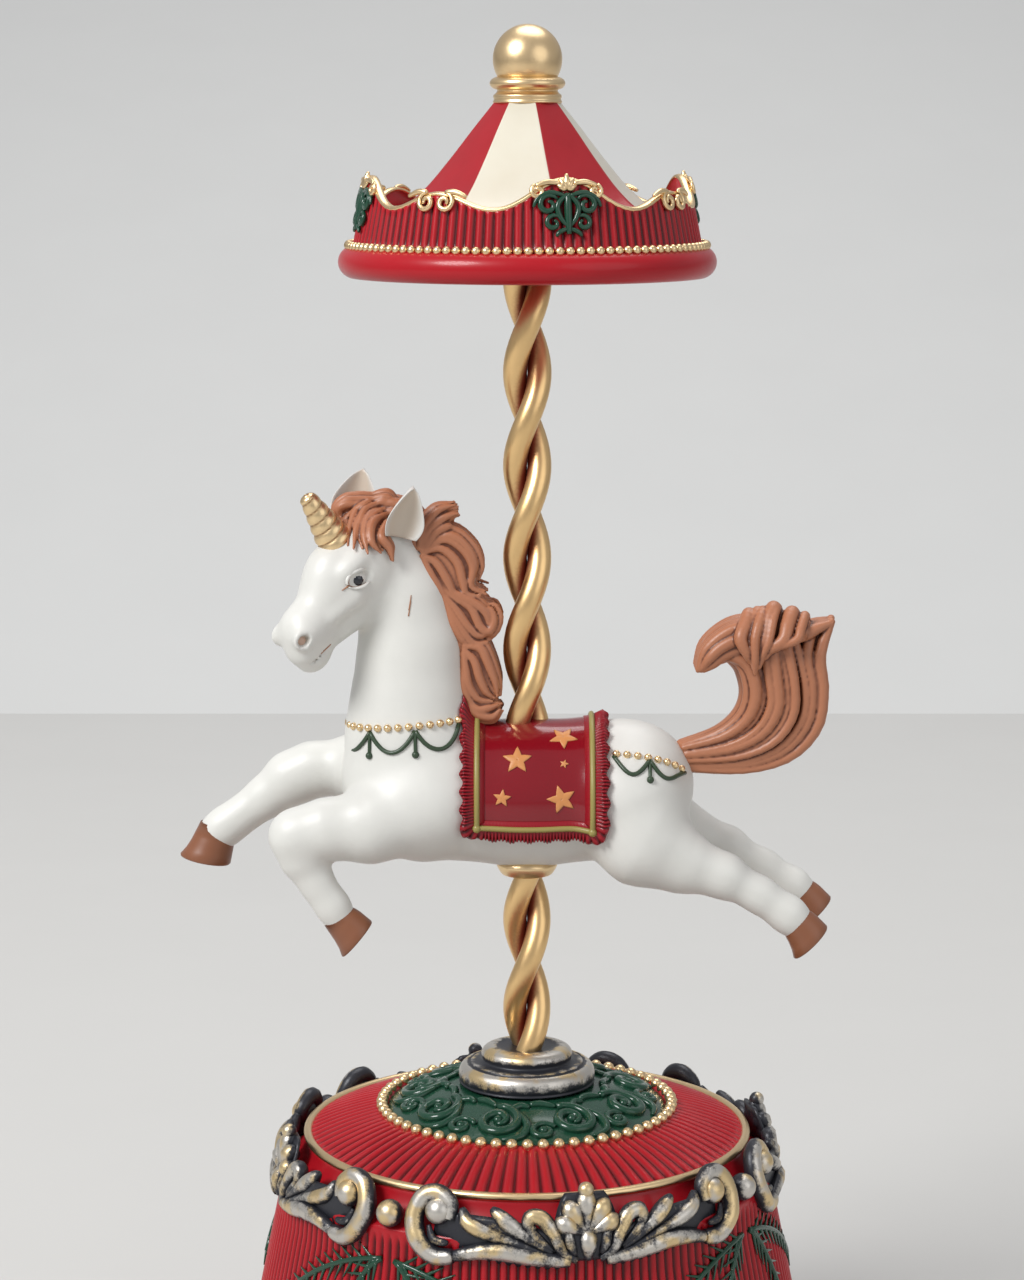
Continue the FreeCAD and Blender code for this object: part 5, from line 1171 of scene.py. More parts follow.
def hooves():
    aim = {
        "near_fore": ((0.76, 0, -0.65), (-0.65, 0, -0.76), 0.84),
        "far_fore": ((-0.2, 0, -0.98), (-0.98, 0, 0.2), 0.95),
        "near_hind": ((0.70, 0, -0.71), (-0.71, 0, -0.70), 0.84),
        "far_hind": ((0.70, 0, -0.71), (-0.71, 0, -0.70), 0.84),
    }
    shapes = []
    for name, (down, toe, scale) in aim.items():
        down, toe = unit(np.array(down)), unit(np.array(toe))
        end = np.array(LEGS[name][-1][:3]) + down * 0.6
        shapes.append(hoof_shape(end, down, toe, scale))
    return join(*shapes)


def ear_shape(root, tip, face, half):
    """A cupped leaf: wide at a third of its length, bent round its open face, with a rounded tip."""
    steps, sides = 22, 28
    t = np.linspace(0, 1, steps)
    root, tip, face = (np.asarray(v, float) for v in (root, tip, face))
    bow = np.sin(np.pi * t)[:, None] * -1.1 * unit(face)
    path = root + (tip - root) * t[:, None] + bow
    wide = half * np.sin(np.pi * (0.2 + 0.8 * t) ** 0.85) ** 0.62 + 0.12
    shape = sweep(path, wide, 0.55 + 0.25 * (1 - t), face, sides, cup=wide * 0.8)
    angle = np.tile(np.arange(sides) / sides * TAU, steps)
    # Painted shade inside the ear's cup.
    shape.hollow[: steps * sides] = np.where(np.sin(angle) > 0.2, (1 - np.cos(angle) ** 2) * 0.95, 0)
    return shape


def horn_shape():
    """A straight cone with a ridge that winds round it six times and a blunt rounded tip."""
    root, tip = np.array([-35.4, -5.5, 48.0]), np.array([-41.7, -9.0, 58.7])
    steps, sides = 70, 36
    t = np.linspace(0, 1, steps)
    angle = np.arange(sides) / sides * TAU
    wind = (t[:, None] * 6.2 - angle / TAU) % 1
    swell = np.sin(np.pi * wind) ** 0.6
    r = (4.1 - 2.6 * t)[:, None] * (0.89 + 0.13 * swell)
    r = r * np.sqrt(np.clip(1 - ((t[:, None] - 0.93) / 0.072).clip(0, 1) ** 2, 0.02, 1))
    way = unit(tip - root)
    across = unit(np.cross(way, LEFT))
    points = root + (tip - root) * t[:, None, None] + r[..., None] * (
        np.cos(angle)[:, None] * across + np.sin(angle)[:, None] * np.cross(way, across)
    )
    n = steps * sides
    here = np.arange(sides)
    there = (here + 1) % sides
    last = n - sides
    faces = [
        quads(steps, sides, False, True),
        fan(n, there, here),
        fan(n + 1, last + here, last + there),
    ]
    points = np.concatenate([points.reshape(-1, 3), [root, tip]])
    # The grooves between the ridge's turns take the gold's dark ground: red bole and painted shade.
    return outward(Shape(points, faces, np.concatenate([(1 - swell).ravel() * 0.8, [0, 0]])))


def hair(locks, spacing=0.27, soft=0.08, steps=20):
    """Locks of hair from lists of (x, y, z, half width) points: round links fused on a fine grid, so that
    only the grooves between the locks stay."""
    curves = [smooth_line(lock, steps) for lock in locks]
    every = np.concatenate(curves)
    edge = every[:, 3].max() + 2.0
    lows, highs = every[:, :3].min(0) - edge, every[:, :3].max(0) + edge
    clay = Clay(*[spaced([(a, b, spacing)]) for a, b in zip(lows, highs)])
    for curve in curves:
        curve[:, 3] = np.maximum(curve[:, 3], 0.3)
        clay.limb(curve, soft, margin=1.1)
    points, faces = clay.skin()
    points = relaxed(points, faces, 1)
    # Painted shade in the grooves between the locks, from how sunken each point is.
    return outward(Shape(points, [faces], sunken(clay, points, 0.6, 0.2, 3.4)))


def drawn_lock(wave, across, half, number, aside=0.0):
    """A lock through drawn (x, z) points, fuller at its middle and nudged towards its tip so that no two
    are alike. across gives its places along Y, and aside moves it to one side of the drawn line."""
    wave = np.asarray(wave, float)
    t = np.linspace(0, 1, len(wave))
    run = unit(np.gradient(wave, axis=0))
    nudge = 0.4 * np.array([math.sin(7.0 * number), math.cos(5.0 * number)])
    flat = wave + nudge * t[:, None] + aside * (1 - 0.6 * t[:, None]) * np.stack([-run[:, 1], run[:, 0]], -1)
    width = half * (0.18 + 0.82 * np.sin(np.pi * (0.15 + 0.83 * t)))
    return np.column_stack([flat[:, 0], np.broadcast_to(across, len(t)), flat[:, 1], width])


def strands(wave, across, half, number):
    """Three finer locks side by side along one drawn wave, the middle one fuller and more proud."""
    gap = 1.4 * half
    return [
        drawn_lock(wave, across * 0.95, half * 0.85, number + 3, -gap),
        drawn_lock(wave, across * 1.1, half, number, 0.0),
        drawn_lock(wave, across * 0.95, half * 0.85, number + 5, gap),
    ]


def mane_hair():
    """The mane: drawn waves that leave the crest, swell backwards and flick out, in four layers from side
    to side over a core along the crest."""
    waves = [
        [(-20.4, 47.9), (-19.7, 51.5), (-17.1, 54.8), (-13.8, 55.8)],
        [(-20.0, 47.5), (-18.6, 51.5), (-16.0, 53.7), (-13.4, 54.5)],
        [(-19.7, 47.1), (-17.8, 50.8), (-15.6, 52.3), (-14.5, 52.3)],
        [(-19.3, 47.9), (-15.6, 49.7), (-12.3, 47.9), (-10.5, 44.6), (-10.9, 40.9), (-8.1, 39.4)],
        [(-19.7, 47.1), (-16.4, 47.9), (-13.4, 45.3), (-12.3, 41.6), (-11.6, 39.1), (-9.0, 38.7)],
        [(-20.0, 46.4), (-17.5, 45.3), (-15.3, 42.0), (-13.8, 39.1), (-11.6, 37.9)],
        [(-19.3, 48.6), (-14.5, 50.4), (-11.2, 47.9), (-9.6, 44.6), (-10.1, 42.0)],
        [(-19.7, 46.0), (-18.2, 43.1), (-16.4, 40.2), (-14.5, 37.9)],
        [(-16.4, 40.2), (-13.4, 38.3), (-10.5, 36.5), (-9.0, 33.2), (-7.2, 32.1), (-6.1, 34.3), (-6.8, 36.5),
         (-8.3, 36.5)],
        [(-16.0, 39.4), (-13.8, 36.5), (-11.6, 33.2), (-9.4, 31.0), (-7.2, 31.3)],
        [(-15.6, 38.3), (-14.2, 35.0), (-12.3, 31.7), (-10.5, 29.5), (-7.9, 29.5)],
        [(-15.3, 37.2), (-14.2, 33.5), (-12.7, 30.6), (-11.6, 29.1)],
        [(-16.0, 40.2), (-12.3, 38.7), (-9.0, 36.8), (-7.6, 34.6), (-7.9, 32.4)],
        [(-12.0, 29.1), (-9.0, 28.8), (-7.6, 26.2), (-6.1, 22.2), (-5.7, 19.6)],
        [(-12.0, 28.4), (-10.1, 26.2), (-9.0, 22.9), (-7.6, 20.0), (-6.1, 18.8)],
        [(-12.1, 27.7), (-11.6, 24.4), (-10.9, 21.1), (-9.0, 18.5), (-6.4, 18.1)],
        [(-12.1, 25.1), (-12.0, 21.4), (-10.9, 18.8), (-9.0, 17.4)],
        [(-11.6, 18.5), (-9.4, 17.0), (-7.2, 17.4), (-5.5, 18.1)],
        [(-11.6, 17.4), (-9.4, 15.9), (-6.8, 15.5), (-5.3, 17.0)],
    ]
    locks = []
    for number, wave in enumerate(waves):
        for layer, across in enumerate((-3.7, -1.3, 1.3, 3.7)):
            locks += strands(wave, across, 0.95, number + 4 * layer)
    crest = [(-21.6, 49.0), (-17.4, 43.5), (-14.8, 37.5), (-12.6, 31.0), (-11.0, 24.0), (-9.8, 17.0)]
    locks += [drawn_lock(crest, across, 3.2, 0) for across in (-1.5, 1.5)]
    return hair(locks)


def forelock_hair(clay):
    """Locks from between the ears, drawn over the brow and laid on the skin; the lower ones are also
    mirrored to the far side of the head."""
    drawn = [
        [(-26.3, 54.4), (-29.2, 53.0), (-29.4, 49.8), (-27.6, 47.4)],
        [(-26.7, 53.2), (-27.6, 50.6), (-26.1, 48.4), (-25.6, 46.0)],
        [(-27.0, 55.2), (-30.0, 54.4), (-31.0, 51.4), (-30.4, 48.2)],
        [(-25.9, 54.6), (-30.7, 55.4), (-32.4, 52.8), (-33.0, 49.0)],
        [(-28.0, 55.8), (-32.6, 56.0), (-34.2, 53.8), (-34.2, 51.0)],
        [(-30.7, 55.8), (-34.0, 56.0), (-35.6, 55.0), (-35.1, 53.0)],
        [(-29.6, 55.8), (-27.0, 56.6), (-25.2, 54.8)],
    ]
    locks = []
    for number, wave in enumerate(drawn):
        flat = np.asarray(wave, float)
        start = np.stack([flat[:, 0], np.full(len(flat), -1.0), flat[:, 1]], -1)
        across = -1.0 - clay.reach(start, np.array([0, -1.0, 0])) - 0.4
        near = strands(wave, across, 0.9, number)
        locks += near + strands(wave, across * 0.5 + 1.2, 1.2, number + 9)
        if number < 4:
            for lock in near:
                mirror = lock.copy()
                mirror[:, :3] -= 2 * ((lock[:, :3] - SKULL) @ LEFT)[:, None] * LEFT
                locks.append(mirror)
    for across in (-2.0, 1.0, 4.0):
        locks += strands([(-20.6, 49.0), (-22.6, 53.0), (-26.0, 54.8), (-30.0, 54.2)], across, 1.7, 3)
    return hair(locks)


def tail_sheaf():
    """Locks that sweep out of the rump and fan upwards between an inner and an outer line, in four layers
    over a core."""
    inner = np.array([
        (30.0, 9.4), (37.0, 12.0), (41.2, 15.8), (42.4, 20.6), (40.8, 25.6), (37.2, 27.4), (33.8, 25.0),
    ])
    outer = np.array([
        (31.2, 4.8), (42.0, 4.8), (50.4, 7.6), (55.4, 13.4), (56.4, 20.6), (55.6, 27.0), (57.8, 33.4),
    ])
    thick = (1.6, 2.2, 2.9, 3.2, 3.2, 2.2)
    locks = []
    for layer, y in enumerate((-4.2, -1.5, 1.5, 4.2)):
        for k, s in enumerate(np.linspace(0, 1, 10)):
            bend = s + 0.045 * math.sin(3.1 * k + 2.0 * layer)
            flat = inner * (1 - bend) + outer * bend
            if 0.25 < s < 0.85:
                flat[-2] = flat[-2] * 0.5 + np.array([45.5 + 6 * s, 33.0]) * 0.5
                flat[-1] = (43.6 + 9.0 * s, 35.0 - 5.0 * (s - 0.4) ** 2)
            edge = math.sin(math.pi * (0.12 + 0.76 * s))
            proud = 1 + 0.13 * math.sin(2.3 * k + layer)
            depth = proud * y * np.array([0.45, 0.7, 0.95, 1.05, 1.1, 1.0, 0.7]) * (0.45 + 0.55 * edge)
            width = np.array([0.55, 0.75, 0.95, 1.1, 1.1, 1.2, 0.7]) * (1 + 0.2 * math.sin(1.7 * k))
            locks.append(np.column_stack([flat[:, 0], depth, flat[:, 1], width]))
    for share in (0.12, 0.37, 0.63, 0.88):
        core = (inner * (1 - share) + outer * share)[:-1]
        locks.append(np.column_stack([core[:, 0], 0 * core[:, 0], core[:, 1], thick]))
    return locks


def tail_lobe():
    """Uneven locks that rise over the top of the tail and fall down its near side."""
    locks = []
    for k in range(9):
        x = 41.4 + 1.45 * k + 0.5 * math.sin(2.9 * k)
        crown = 36.2 - 0.12 * (k - 3.2) ** 2 + 0.35 * math.sin(2.1 * k)
        width = 1.0 + 0.35 * math.sin(4.3 * k + 1.0)
        tip = 24.0 + 1.3 * abs(k - 2.0) ** 0.8
        front = -6.6 - 0.5 * math.sin(3.7 * k)
        locks.append([
            (x + 1.6, 0.5, crown - 2.4, width),
            (x + 1.0, -2.6, crown, 1.1 * width),
            (x, front + 1.4, crown - 2.0, 1.1 * width),
            (x - 0.8, front, 30.8, width),
            (x * 0.62 + 16.0, front, 0.5 * tip + 15.2, 0.8 * width),
            (x * 0.4 + 25.8, -6.2, tip, 0.4),
        ])
    return locks


def tail_flick():
    """Locks that run together into a point at the tail's outer side."""
    locks = []
    for k in range(6):
        y = -3.5 + 1.4 * k
        locks.append([
            (50.6, y, 31.0, 1.2),
            (53.0, y, 32.0 - 0.2 * abs(y), 1.3),
            (55.4, 0.9 * y, 32.4, 1.1),
            (57.8, 0.7 * y, 33.2, 0.7),
        ])
    return locks


def tail_curl():
    """Locks that bend over towards the unicorn's head and down, three to a strand, over a core."""
    locks = []
    for k in range(6):
        y = -4.6 + 1.9 * k
        for aside in (-1.5, 0.0, 1.5):
            proud = 1.12 if aside == 0 else 0.95
            locks.append([
                (46.0, y * proud, 31.6 + aside, 1.2),
                (40.8, y * proud, 30.8 + 1.3 * aside, 1.25),
                (37.2, y * proud, 29.2 + 1.3 * aside, 1.2),
                (34.8 - 0.5 * aside, y * proud, 27.0 + 0.8 * aside, 1.0),
                (33.2 - 0.4 * aside, 0.9 * y, 24.4, 0.5),
            ])
    locks.append([(46.0, 0, 31.6, 3.0), (40.8, 0, 30.8, 3.2), (37.2, 0, 29.2, 3.0), (35.0, 0, 27.2, 2.0)])
    return locks


def tail_hair():
    return hair(tail_sheaf() + tail_lobe() + tail_flick() + tail_curl())


# Trappings laid on the unicorn's skin


def on_trunk(clay, x, angle, lift):
    """Points over the trunk: from its middle line out to the skin and a lift beyond, at an angle from
    the near side (0) over the back (a quarter turn) to the far side (a half turn)."""
    x, angle = np.broadcast_arrays(np.asarray(x, float), np.asarray(angle, float))
    way = np.stack([0 * x, -np.cos(angle), np.sin(angle)], -1)
    start = np.stack([x, 0 * x, 0 * x], -1)
    return start + way * (clay.reach(start, way) + lift)[..., None]


BLANKET_X = (-9.6, 12.4)
BLANKET_HEM = math.radians(-19)     # hem, below the near side's level
TRUNK_R = 14.0                      # turns a length round the trunk into an angle
CLOTH_FACE, CLOTH_UNDER = 1.15, -0.6    # heights over the unicorn's skin
STAR_FACE, STAR_UNDER = 1.34, 0.9       # heights over the unicorn's skin
FRINGE_WIDTH = 3.0


def blanket_cloth(clay):
    """The blanket's middle: a sheet over the back from hem to hem, with a face, an underside and edges."""
    rows, columns = 46, 150
    x = np.linspace(*BLANKET_X, rows)
    angle = np.linspace(BLANKET_HEM, math.pi - BLANKET_HEM, columns)
    grid_x, grid_a = np.meshgrid(x, angle, indexing="ij")
    top = on_trunk(clay, grid_x, grid_a, CLOTH_FACE)
    bottom = on_trunk(clay, grid_x, grid_a, CLOTH_UNDER)
    n = rows * columns
    number = np.arange(n).reshape(rows, columns)
    rim = np.concatenate([number[0], number[1:, -1], number[-1, -2::-1], number[-2:0:-1, 0]])
    wall = np.stack([rim, np.roll(rim, -1), np.roll(rim, -1) + n, rim + n], -1)
    body = quads(rows, columns)
    points = np.concatenate([top.reshape(-1, 3), bottom.reshape(-1, 3)])
    return outward(Shape(points, [body, body[:, ::-1] + n, wall]))


def blanket_border(count):
    """A closed walk round the blanket's edge: place, and the outward direction, in (x, arc) millimetres."""
    arc_low, arc_high = BLANKET_HEM * TRUNK_R, (math.pi - BLANKET_HEM) * TRUNK_R
    corner = 1.2
    x0, x1 = BLANKET_X
    corners = [(x0, arc_high), (x0, arc_low), (x1, arc_low), (x1, arc_high)]
    sides = list(zip(corners, corners[1:] + corners[:1]))
    normals = [(-1, 0), (0, -1), (1, 0), (0, 1)]
    lengths = [math.dist(a, b) for a, b in sides]
    places, ways = [], []
    for i, ((a, b), length) in enumerate(zip(sides, lengths)):
        n = max(int(count * length / sum(lengths)), 8)
        t = np.linspace(0, 1, n, endpoint=False)[:, None]
        places.append(np.array(a) * (1 - t) + np.array(b) * t)
        near_end = np.clip((t * length - (length - corner)) / corner, 0, 1) * 0.5
        near_start = np.clip((corner - t * length) / corner, 0, 1) * 0.5
        before, here, after = (np.array(normals[(i + k) % 4], float) for k in (-1, 0, 1))
        ways.append(unit(here * (1 - near_end - near_start) + after * near_end + before * near_start))
    return np.concatenate(places), np.concatenate(ways)


def blanket_fringe(clay):
    """A gathered frill round the blanket: its ruffles grow towards its outer edge."""
    place, way = blanket_border(1300)
    n = len(place)
    ruffle = np.abs(np.sin(np.arange(n) * TAU / 11.0 + 0.8 * np.sin(np.arange(n) * 0.043)))
    out = np.array([-0.5, 0.0, 0.25, 0.5, 0.75, 1.0, 0.96, 0.6, 0.2, -0.4])[:, None]
    face = np.array([1, 1, 1, 1, 1, 0.5, 0, 0, 0, 0])[:, None]
    reach = out * (FRINGE_WIDTH + 0.35 * np.sin(np.arange(n) * 0.21) * (out > 0.9))
    flat = place[None] + way[None] * reach[..., None]
    lift = face * (1.0 + np.clip(out, 0, 1) * 1.0 * ruffle + 0.3) + (1 - face) * 0.25
    points = on_trunk(clay, flat[..., 0], flat[..., 1] / TRUNK_R, lift)
    # Painted shade between the ruffles, deepest towards the frill's outer edge.
    hollow = (1 - ruffle) * np.clip(out, 0, 1) * face * 1.2
    return outward(Shape(points, [quads(len(out), n, True, True)], hollow))


def blanket_piping(clay):
    """A raised line on the blanket's edge, with a small knob at each lower corner."""
    place, _ = blanket_border(420)
    path = on_trunk(clay, place[:, 0], place[:, 1] / TRUNK_R, 1.5)
    edge = sweep(path, 0.55, 0.55, unit(path * np.array([0, 1, 1]) + 1e-6), 8, True)
    hems = (BLANKET_HEM, math.pi - BLANKET_HEM)
    knobs = [on_trunk(clay, x, hem, 1.6) for x in BLANKET_X for hem in hems]
    return join(edge, balls(knobs, 0.85))


def star_shape(clay, x, angle, size, turn):
    """A five-pointed star laid on the blanket, a little domed, closed underneath."""
    rows, columns = 6, 60
    a = np.arange(columns) / columns * TAU
    share = np.abs(((a * 5 / TAU) % 1) - 0.5) * 2
    edge = size / (1 + 1.25 * (1 - share))
    r = np.linspace(0.02, 1, rows)[:, None] * edge
    px = x + r * np.cos(a + turn)
    pa = angle + r * np.sin(a + turn) / TRUNK_R
    top = on_trunk(clay, px, pa, STAR_FACE + 0.1 * (1 - np.linspace(0, 1, rows)[:, None] ** 2) + 0 * px)
    under = on_trunk(clay, px[-1:], pa[-1:], STAR_UNDER)
    base = on_trunk(clay, px[:1], pa[:1], STAR_UNDER)
    points = np.concatenate([top, under, base])
    return outward(Shape(points, [quads(rows + 2, columns, True, True)]))


def blanket_stars(clay):
    """Stars on both sides: (x, degrees above the side's level, size, turn)."""
    spots = [
        (-1.9, 37, 2.9, 0.3), (6.9, 59, 2.8, 1.0), (6.5, 5, 2.9, 0.6), (-4.8, 6, 1.8, 0.2),
        (7.0, 34, 0.9, 0.0),
    ]
    shapes = []
    for x, degrees, size, turn in spots:
        angle = math.radians(degrees)
        shapes.append(star_shape(clay, x, angle, size, turn))
        shapes.append(star_shape(clay, x, math.pi - angle, size, turn))
    return join(*shapes)


def even_steps(path, gap):
    """Points along a line at an even spacing."""
    length = np.concatenate([[0], np.cumsum(np.linalg.norm(np.diff(path, axis=0), axis=1))])
    at = np.arange(gap / 2, length[-1], gap)
    return np.stack([np.interp(at, length, path[:, i]) for i in range(3)], -1)


NECK_X, NECK_BEADS_Z = -22.0, 14.6
NECK_TILT = 0.9                     # how much higher the bead line lies behind the neck than at its side
NECK_R = 12.2                       # beads and swags follow the skin no further out than this
NECK_BACK = 0.66                    # half of the turn behind the neck that the mane covers
NECK_SWAG = math.radians(47)
RUMP_X, RUMP_LENGTH = 15.5, 18.0
RUMP_BEADS_Z, RUMP_DIP = 11.2, 1.1
RUMP_SWAG = 6.9


def neck_line(clay, turn, drop, lift):
    """Points round the foot of the neck, on a ring that dips a drop below the bead line."""
    turn = np.asarray(turn, float)
    way = np.stack([np.cos(turn), np.sin(turn), 0 * turn], -1)
    start = np.stack([0 * turn + NECK_X, 0 * turn, NECK_BEADS_Z - drop + NECK_TILT * np.cos(turn)], -1)
    return start + way * (np.minimum(clay.reach(start, way), NECK_R) + lift)[..., None]


def rump_line(clay, x, drop, side, lift):
    """Points along the side of the rump, from the blanket to the tail, a drop below the bead line."""
    x = np.asarray(x, float)
    level = RUMP_BEADS_Z - RUMP_DIP * np.sin(np.pi * (x - RUMP_X) / RUMP_LENGTH) - drop
    way = unit(np.stack([0 * x, 0 * x - 12.0, level], -1))
    start = np.stack([x, 0 * x, 0 * x], -1)
    spot = start + way * (clay.reach(start, way, 16.0) + lift)[..., None]
    spot[..., 1] *= -side
    return spot


def harness_beads(clay):
    """A row of beads round the front of the neck and one along each side of the rump."""
    turn = np.linspace(NECK_BACK, TAU - NECK_BACK, 200)
    rows = [even_steps(neck_line(clay, turn, 0.0, 0.2), 2.05)]
    for side in (-1, 1):
        rows.append(even_steps(rump_line(clay, np.linspace(15.9, 30.2, 80), 0.0, side, 0.2), 2.05))
    return balls(np.concatenate(rows), 0.76, 7, 10)


def swag_paths(make, starts, width, sag):
    """Hanging loops from each start over a width, each a parabola, and a drop where two loops meet."""
    t = np.linspace(0, 1, 18)
    loops = [make(s + width * t, 0.8 + sag * 4 * t * (1 - t)) for s in starts]
    drops = [make(s + 0 * t[:9], 0.8 + np.linspace(0, sag * 1.15, 9)) for s in starts[1:]]
    return np.stack(loops), np.stack(drops)


def garlands(clay):
    """Green swags below the beads, with a drop and a pendant where two swags meet."""
    shapes, pendants = [], []
    neck_starts = math.pi + NECK_SWAG * np.arange(-3, 3)
    jobs = [(lambda s, d: neck_line(clay, s, d, 0.15), neck_starts, NECK_SWAG, 3.9)]
    for side in (-1, 1):
        rump_starts = 16.4 + RUMP_SWAG * np.arange(2)
        jobs.append((lambda s, d, side=side: rump_line(clay, s, d, side, 0.15), rump_starts, RUMP_SWAG, 4.2))
    for make, starts, width, sag in jobs:
        loops, drops = swag_paths(make, starts, width, sag)
        middle = loops.mean((0, 1)) * np.array([1, 0, 1])
        shapes.append(sweep(loops, 0.44, 0.44, unit(loops - middle), 8))
        shapes.append(sweep(drops, 0.36, 0.36, unit(drops - middle), 7))
        pendants.append(drops[:, -1])
    shapes.append(balls(np.concatenate(pendants), 0.72, 7, 9))
    return join(*shapes)


def face_line(clay, side, along, rise, half):
    """A painted line on the side of the face, through drawn (along, rise) places of the head."""
    start = of_head(along, 0 * along, rise)
    path = start + side * LEFT * (clay.reach(start, side * LEFT, 10.0) + 0.02)[:, None]
    return sweep(path, half, 0.16, LEFT * side, 6)


def eye_parts(clay):
    """Eyeballs with dark irises a little proud of them, almond lids that follow the ball, and painted
    lines inside the lids and at the eye's corners."""
    whites, irises, lids, lines = [], [], [], []
    a = np.linspace(0.05 * math.pi, 0.95 * math.pi, 24)
    fade = np.sin(np.linspace(0.35, math.pi - 0.35, 24))
    for side in (-1, 1):
        whites.append(of_head(EYE_ALONG, side * EYE_OUT, EYE_RISE))
        irises.append(of_head(EYE_ALONG + 0.15, side * (EYE_OUT + 0.45), EYE_RISE))
        for sign, high_by, width in ((1, 1.85, 0.46), (-1, 1.6, 0.38)):
            rims = ((lids, 1.0, 2.4, width, 0.40), (lines, 0.86, 2.14, 0.15, 0.12))
            for made, reach, ball, half, rise_half in rims:
                along = reach * 2.8 * np.cos(a)
                rise = reach * sign * high_by * np.sin(a) + EYE_TILT * along
                out = EYE_OUT + np.sqrt(np.maximum(ball**2 - 0.8 * (along**2 + rise**2), 2.0))
                path = of_head(EYE_ALONG + along, side * out, EYE_RISE + rise)
                made.append(sweep(path, half * fade, rise_half, LEFT * side, 8))
        run = np.linspace(0, 1, 8)
        along, rise = EYE_ALONG + 2.4 + 1.7 * run, EYE_RISE + 0.5 + 0.2 * run
        lines.append(face_line(clay, side, along, rise, 0.26 - 0.18 * run))
    return balls(whites, EYE_R, 16, 24), balls(irises, 1.6, 16, 24), join(*lids), join(*lines)


def nostril_pits():
    """The painted floor of each nostril."""
    return balls([of_head(NOSTRIL[0], side * 2.7, NOSTRIL[1]) for side in (-1, 1)], 1.4, 12, 16)


def face_paint(clay):
    """Brown lines along the mouth and two short ones behind the cheek."""
    shapes = []
    run = np.linspace(0, 1, 12)
    for side in (-1, 1):
        shapes.append(face_line(clay, side, 22.9 - 4.4 * run, -3.6 + 0.3 * run, 0.24 - 0.1 * run))
        for back in (0.0, 0.8):
            along, rise = 4.6 - 2.2 * run - back, -8.2 + 1.9 * run + back
            shapes.append(face_line(clay, side, along, rise, 0.13 - 0.07 * run))
    return join(*shapes)


def to_frame(shape):
    """Moves a shape from the unicorn's own place into the model's frame."""
    return shape.moved(HORSE)


def make_base():
    piece("base_casting", "base", base_skin(), RED, ["base_shell"])
    piece("dome_gilt_line", "base", turned_ring(RING_R, RING_Z, 0.85), GOLD, ["gilt_ring"])
    piece("medallion_disc", "base", medallion_disc(), GREEN, ["medallion"])
    piece("medallion_scrolls", "base", medallion_scrolls(), GREEN, ())
    beads = ring_of_beads(60, BEAD_R, BEAD_Z + 0.35, 1.18)
    piece("medallion_bead_ring", "base", beads, GOLD, ["medallion_beads"])
    piece("shoulder_scrolls", "base", scroll_band(), SILVER, ["scroll_band"])
    piece("drum_sprigs", "base", drum_sprigs(), GREEN, ())


def make_canopy():
    piece("hub_turning", "carousel", hub_turning(), SILVER, ["hub"])
    piece("pole_strands", "carousel", pole_strands(), POLE_GOLD, ["twisted_pole"])
    piece("collar_turning", "carousel", collar_turning(), GOLD, ["belly_collar"])
    piece("rim_disc", "carousel", rim_disc(), RED, ["canopy_rim"])
    piece("valance_wall", "carousel", valance_wall(), RED, ["valance"])
    piece("valance_gilding", "carousel", valance_gilding(), GOLD, ())
    piece("valance_filigree", "carousel", valance_filigree(), GREEN, ())
    beads = ring_of_beads(112, RIM_BEADS_R, RIM_TOP + 0.35, 0.9)
    piece("rim_bead_ring", "carousel", beads, GOLD, ["canopy_beads"])
    piece("roof_gores", "carousel", roof_gores(), striped("striped roof"), ["canopy_roof"])
    piece("finial_turning", "carousel", finial_turning(), GOLD, ["finial"])


def make_unicorn():
    clay = unicorn_clay()
    points, faces = clay.skin()
    points = relaxed(points, faces)
    # Painted shade in the skin's hollows, from how sunken each point is.
    skin = outward(Shape(points, [faces], sunken(clay, points, 1.6, 0.08, 1.6)))
    nodes = ["unicorn_trunk", "unicorn_neck", "unicorn_head"]
    nodes += ["left_foreleg", "right_foreleg", "left_hindleg", "right_hindleg"]
    piece("unicorn_skin", "carousel", to_frame(skin), WHITE, nodes)
    piece("hoof_set", "carousel", to_frame(hooves()), HOOF, ["hooves"])
    near = ear_shape((-24.9, -5.6, 50.4), (-21.4, -8.4, 60.0), (0.42, -0.90, 0.05), 3.8)
    far = ear_shape((-33.6, 2.6, 51.0), (-31.4, 4.4, 62.2), (-0.15, -0.98, 0.1), 4.3)
    piece("ear_pair", "carousel", to_frame(join(near, far)), EAR_WHITE, ["ears"])
    piece("horn_spiral", "carousel", to_frame(horn_shape()), GOLD, ["horn"])
    piece("mane_locks", "carousel", to_frame(mane_hair()), HAIR, ["mane"])
    piece("forelock_locks", "carousel", to_frame(forelock_hair(clay)), HAIR, ["forelock"])
    piece("tail_locks", "carousel", to_frame(tail_hair()), HAIR, ["tail"])
    whites, irises, lids, lines = eye_parts(clay)
    piece("eye_whites", "carousel", to_frame(whites), EAR_WHITE, ())
    piece("eye_irises", "carousel", to_frame(irises), INK, ["unicorn_eyes"])
    piece("eye_lids", "carousel", to_frame(lids), WHITE, ())
    piece("eye_lines", "carousel", to_frame(join(lines, face_paint(clay))), BROWN_LINE, ())
    piece("nostril_pits", "carousel", to_frame(nostril_pits()), BLUSH, ())
    cloth = to_frame(blanket_cloth(clay))
    frill = to_frame(blanket_fringe(clay))
    piece("blanket_cloth", "carousel", cloth, CLOTH_RED, ["saddle_blanket"])
    piece("blanket_frill", "carousel", frill, FRINGE, ["blanket_fringe"])
    piece("blanket_piping", "carousel", to_frame(blanket_piping(clay)), OLIVE, ())
    piece("blanket_stars", "carousel", to_frame(blanket_stars(clay)), STAR, ())
    piece("harness_beads", "carousel", to_frame(harness_beads(clay)), GOLD, ())
    piece("harness_garlands", "carousel", to_frame(garlands(clay)), GARLAND, ())


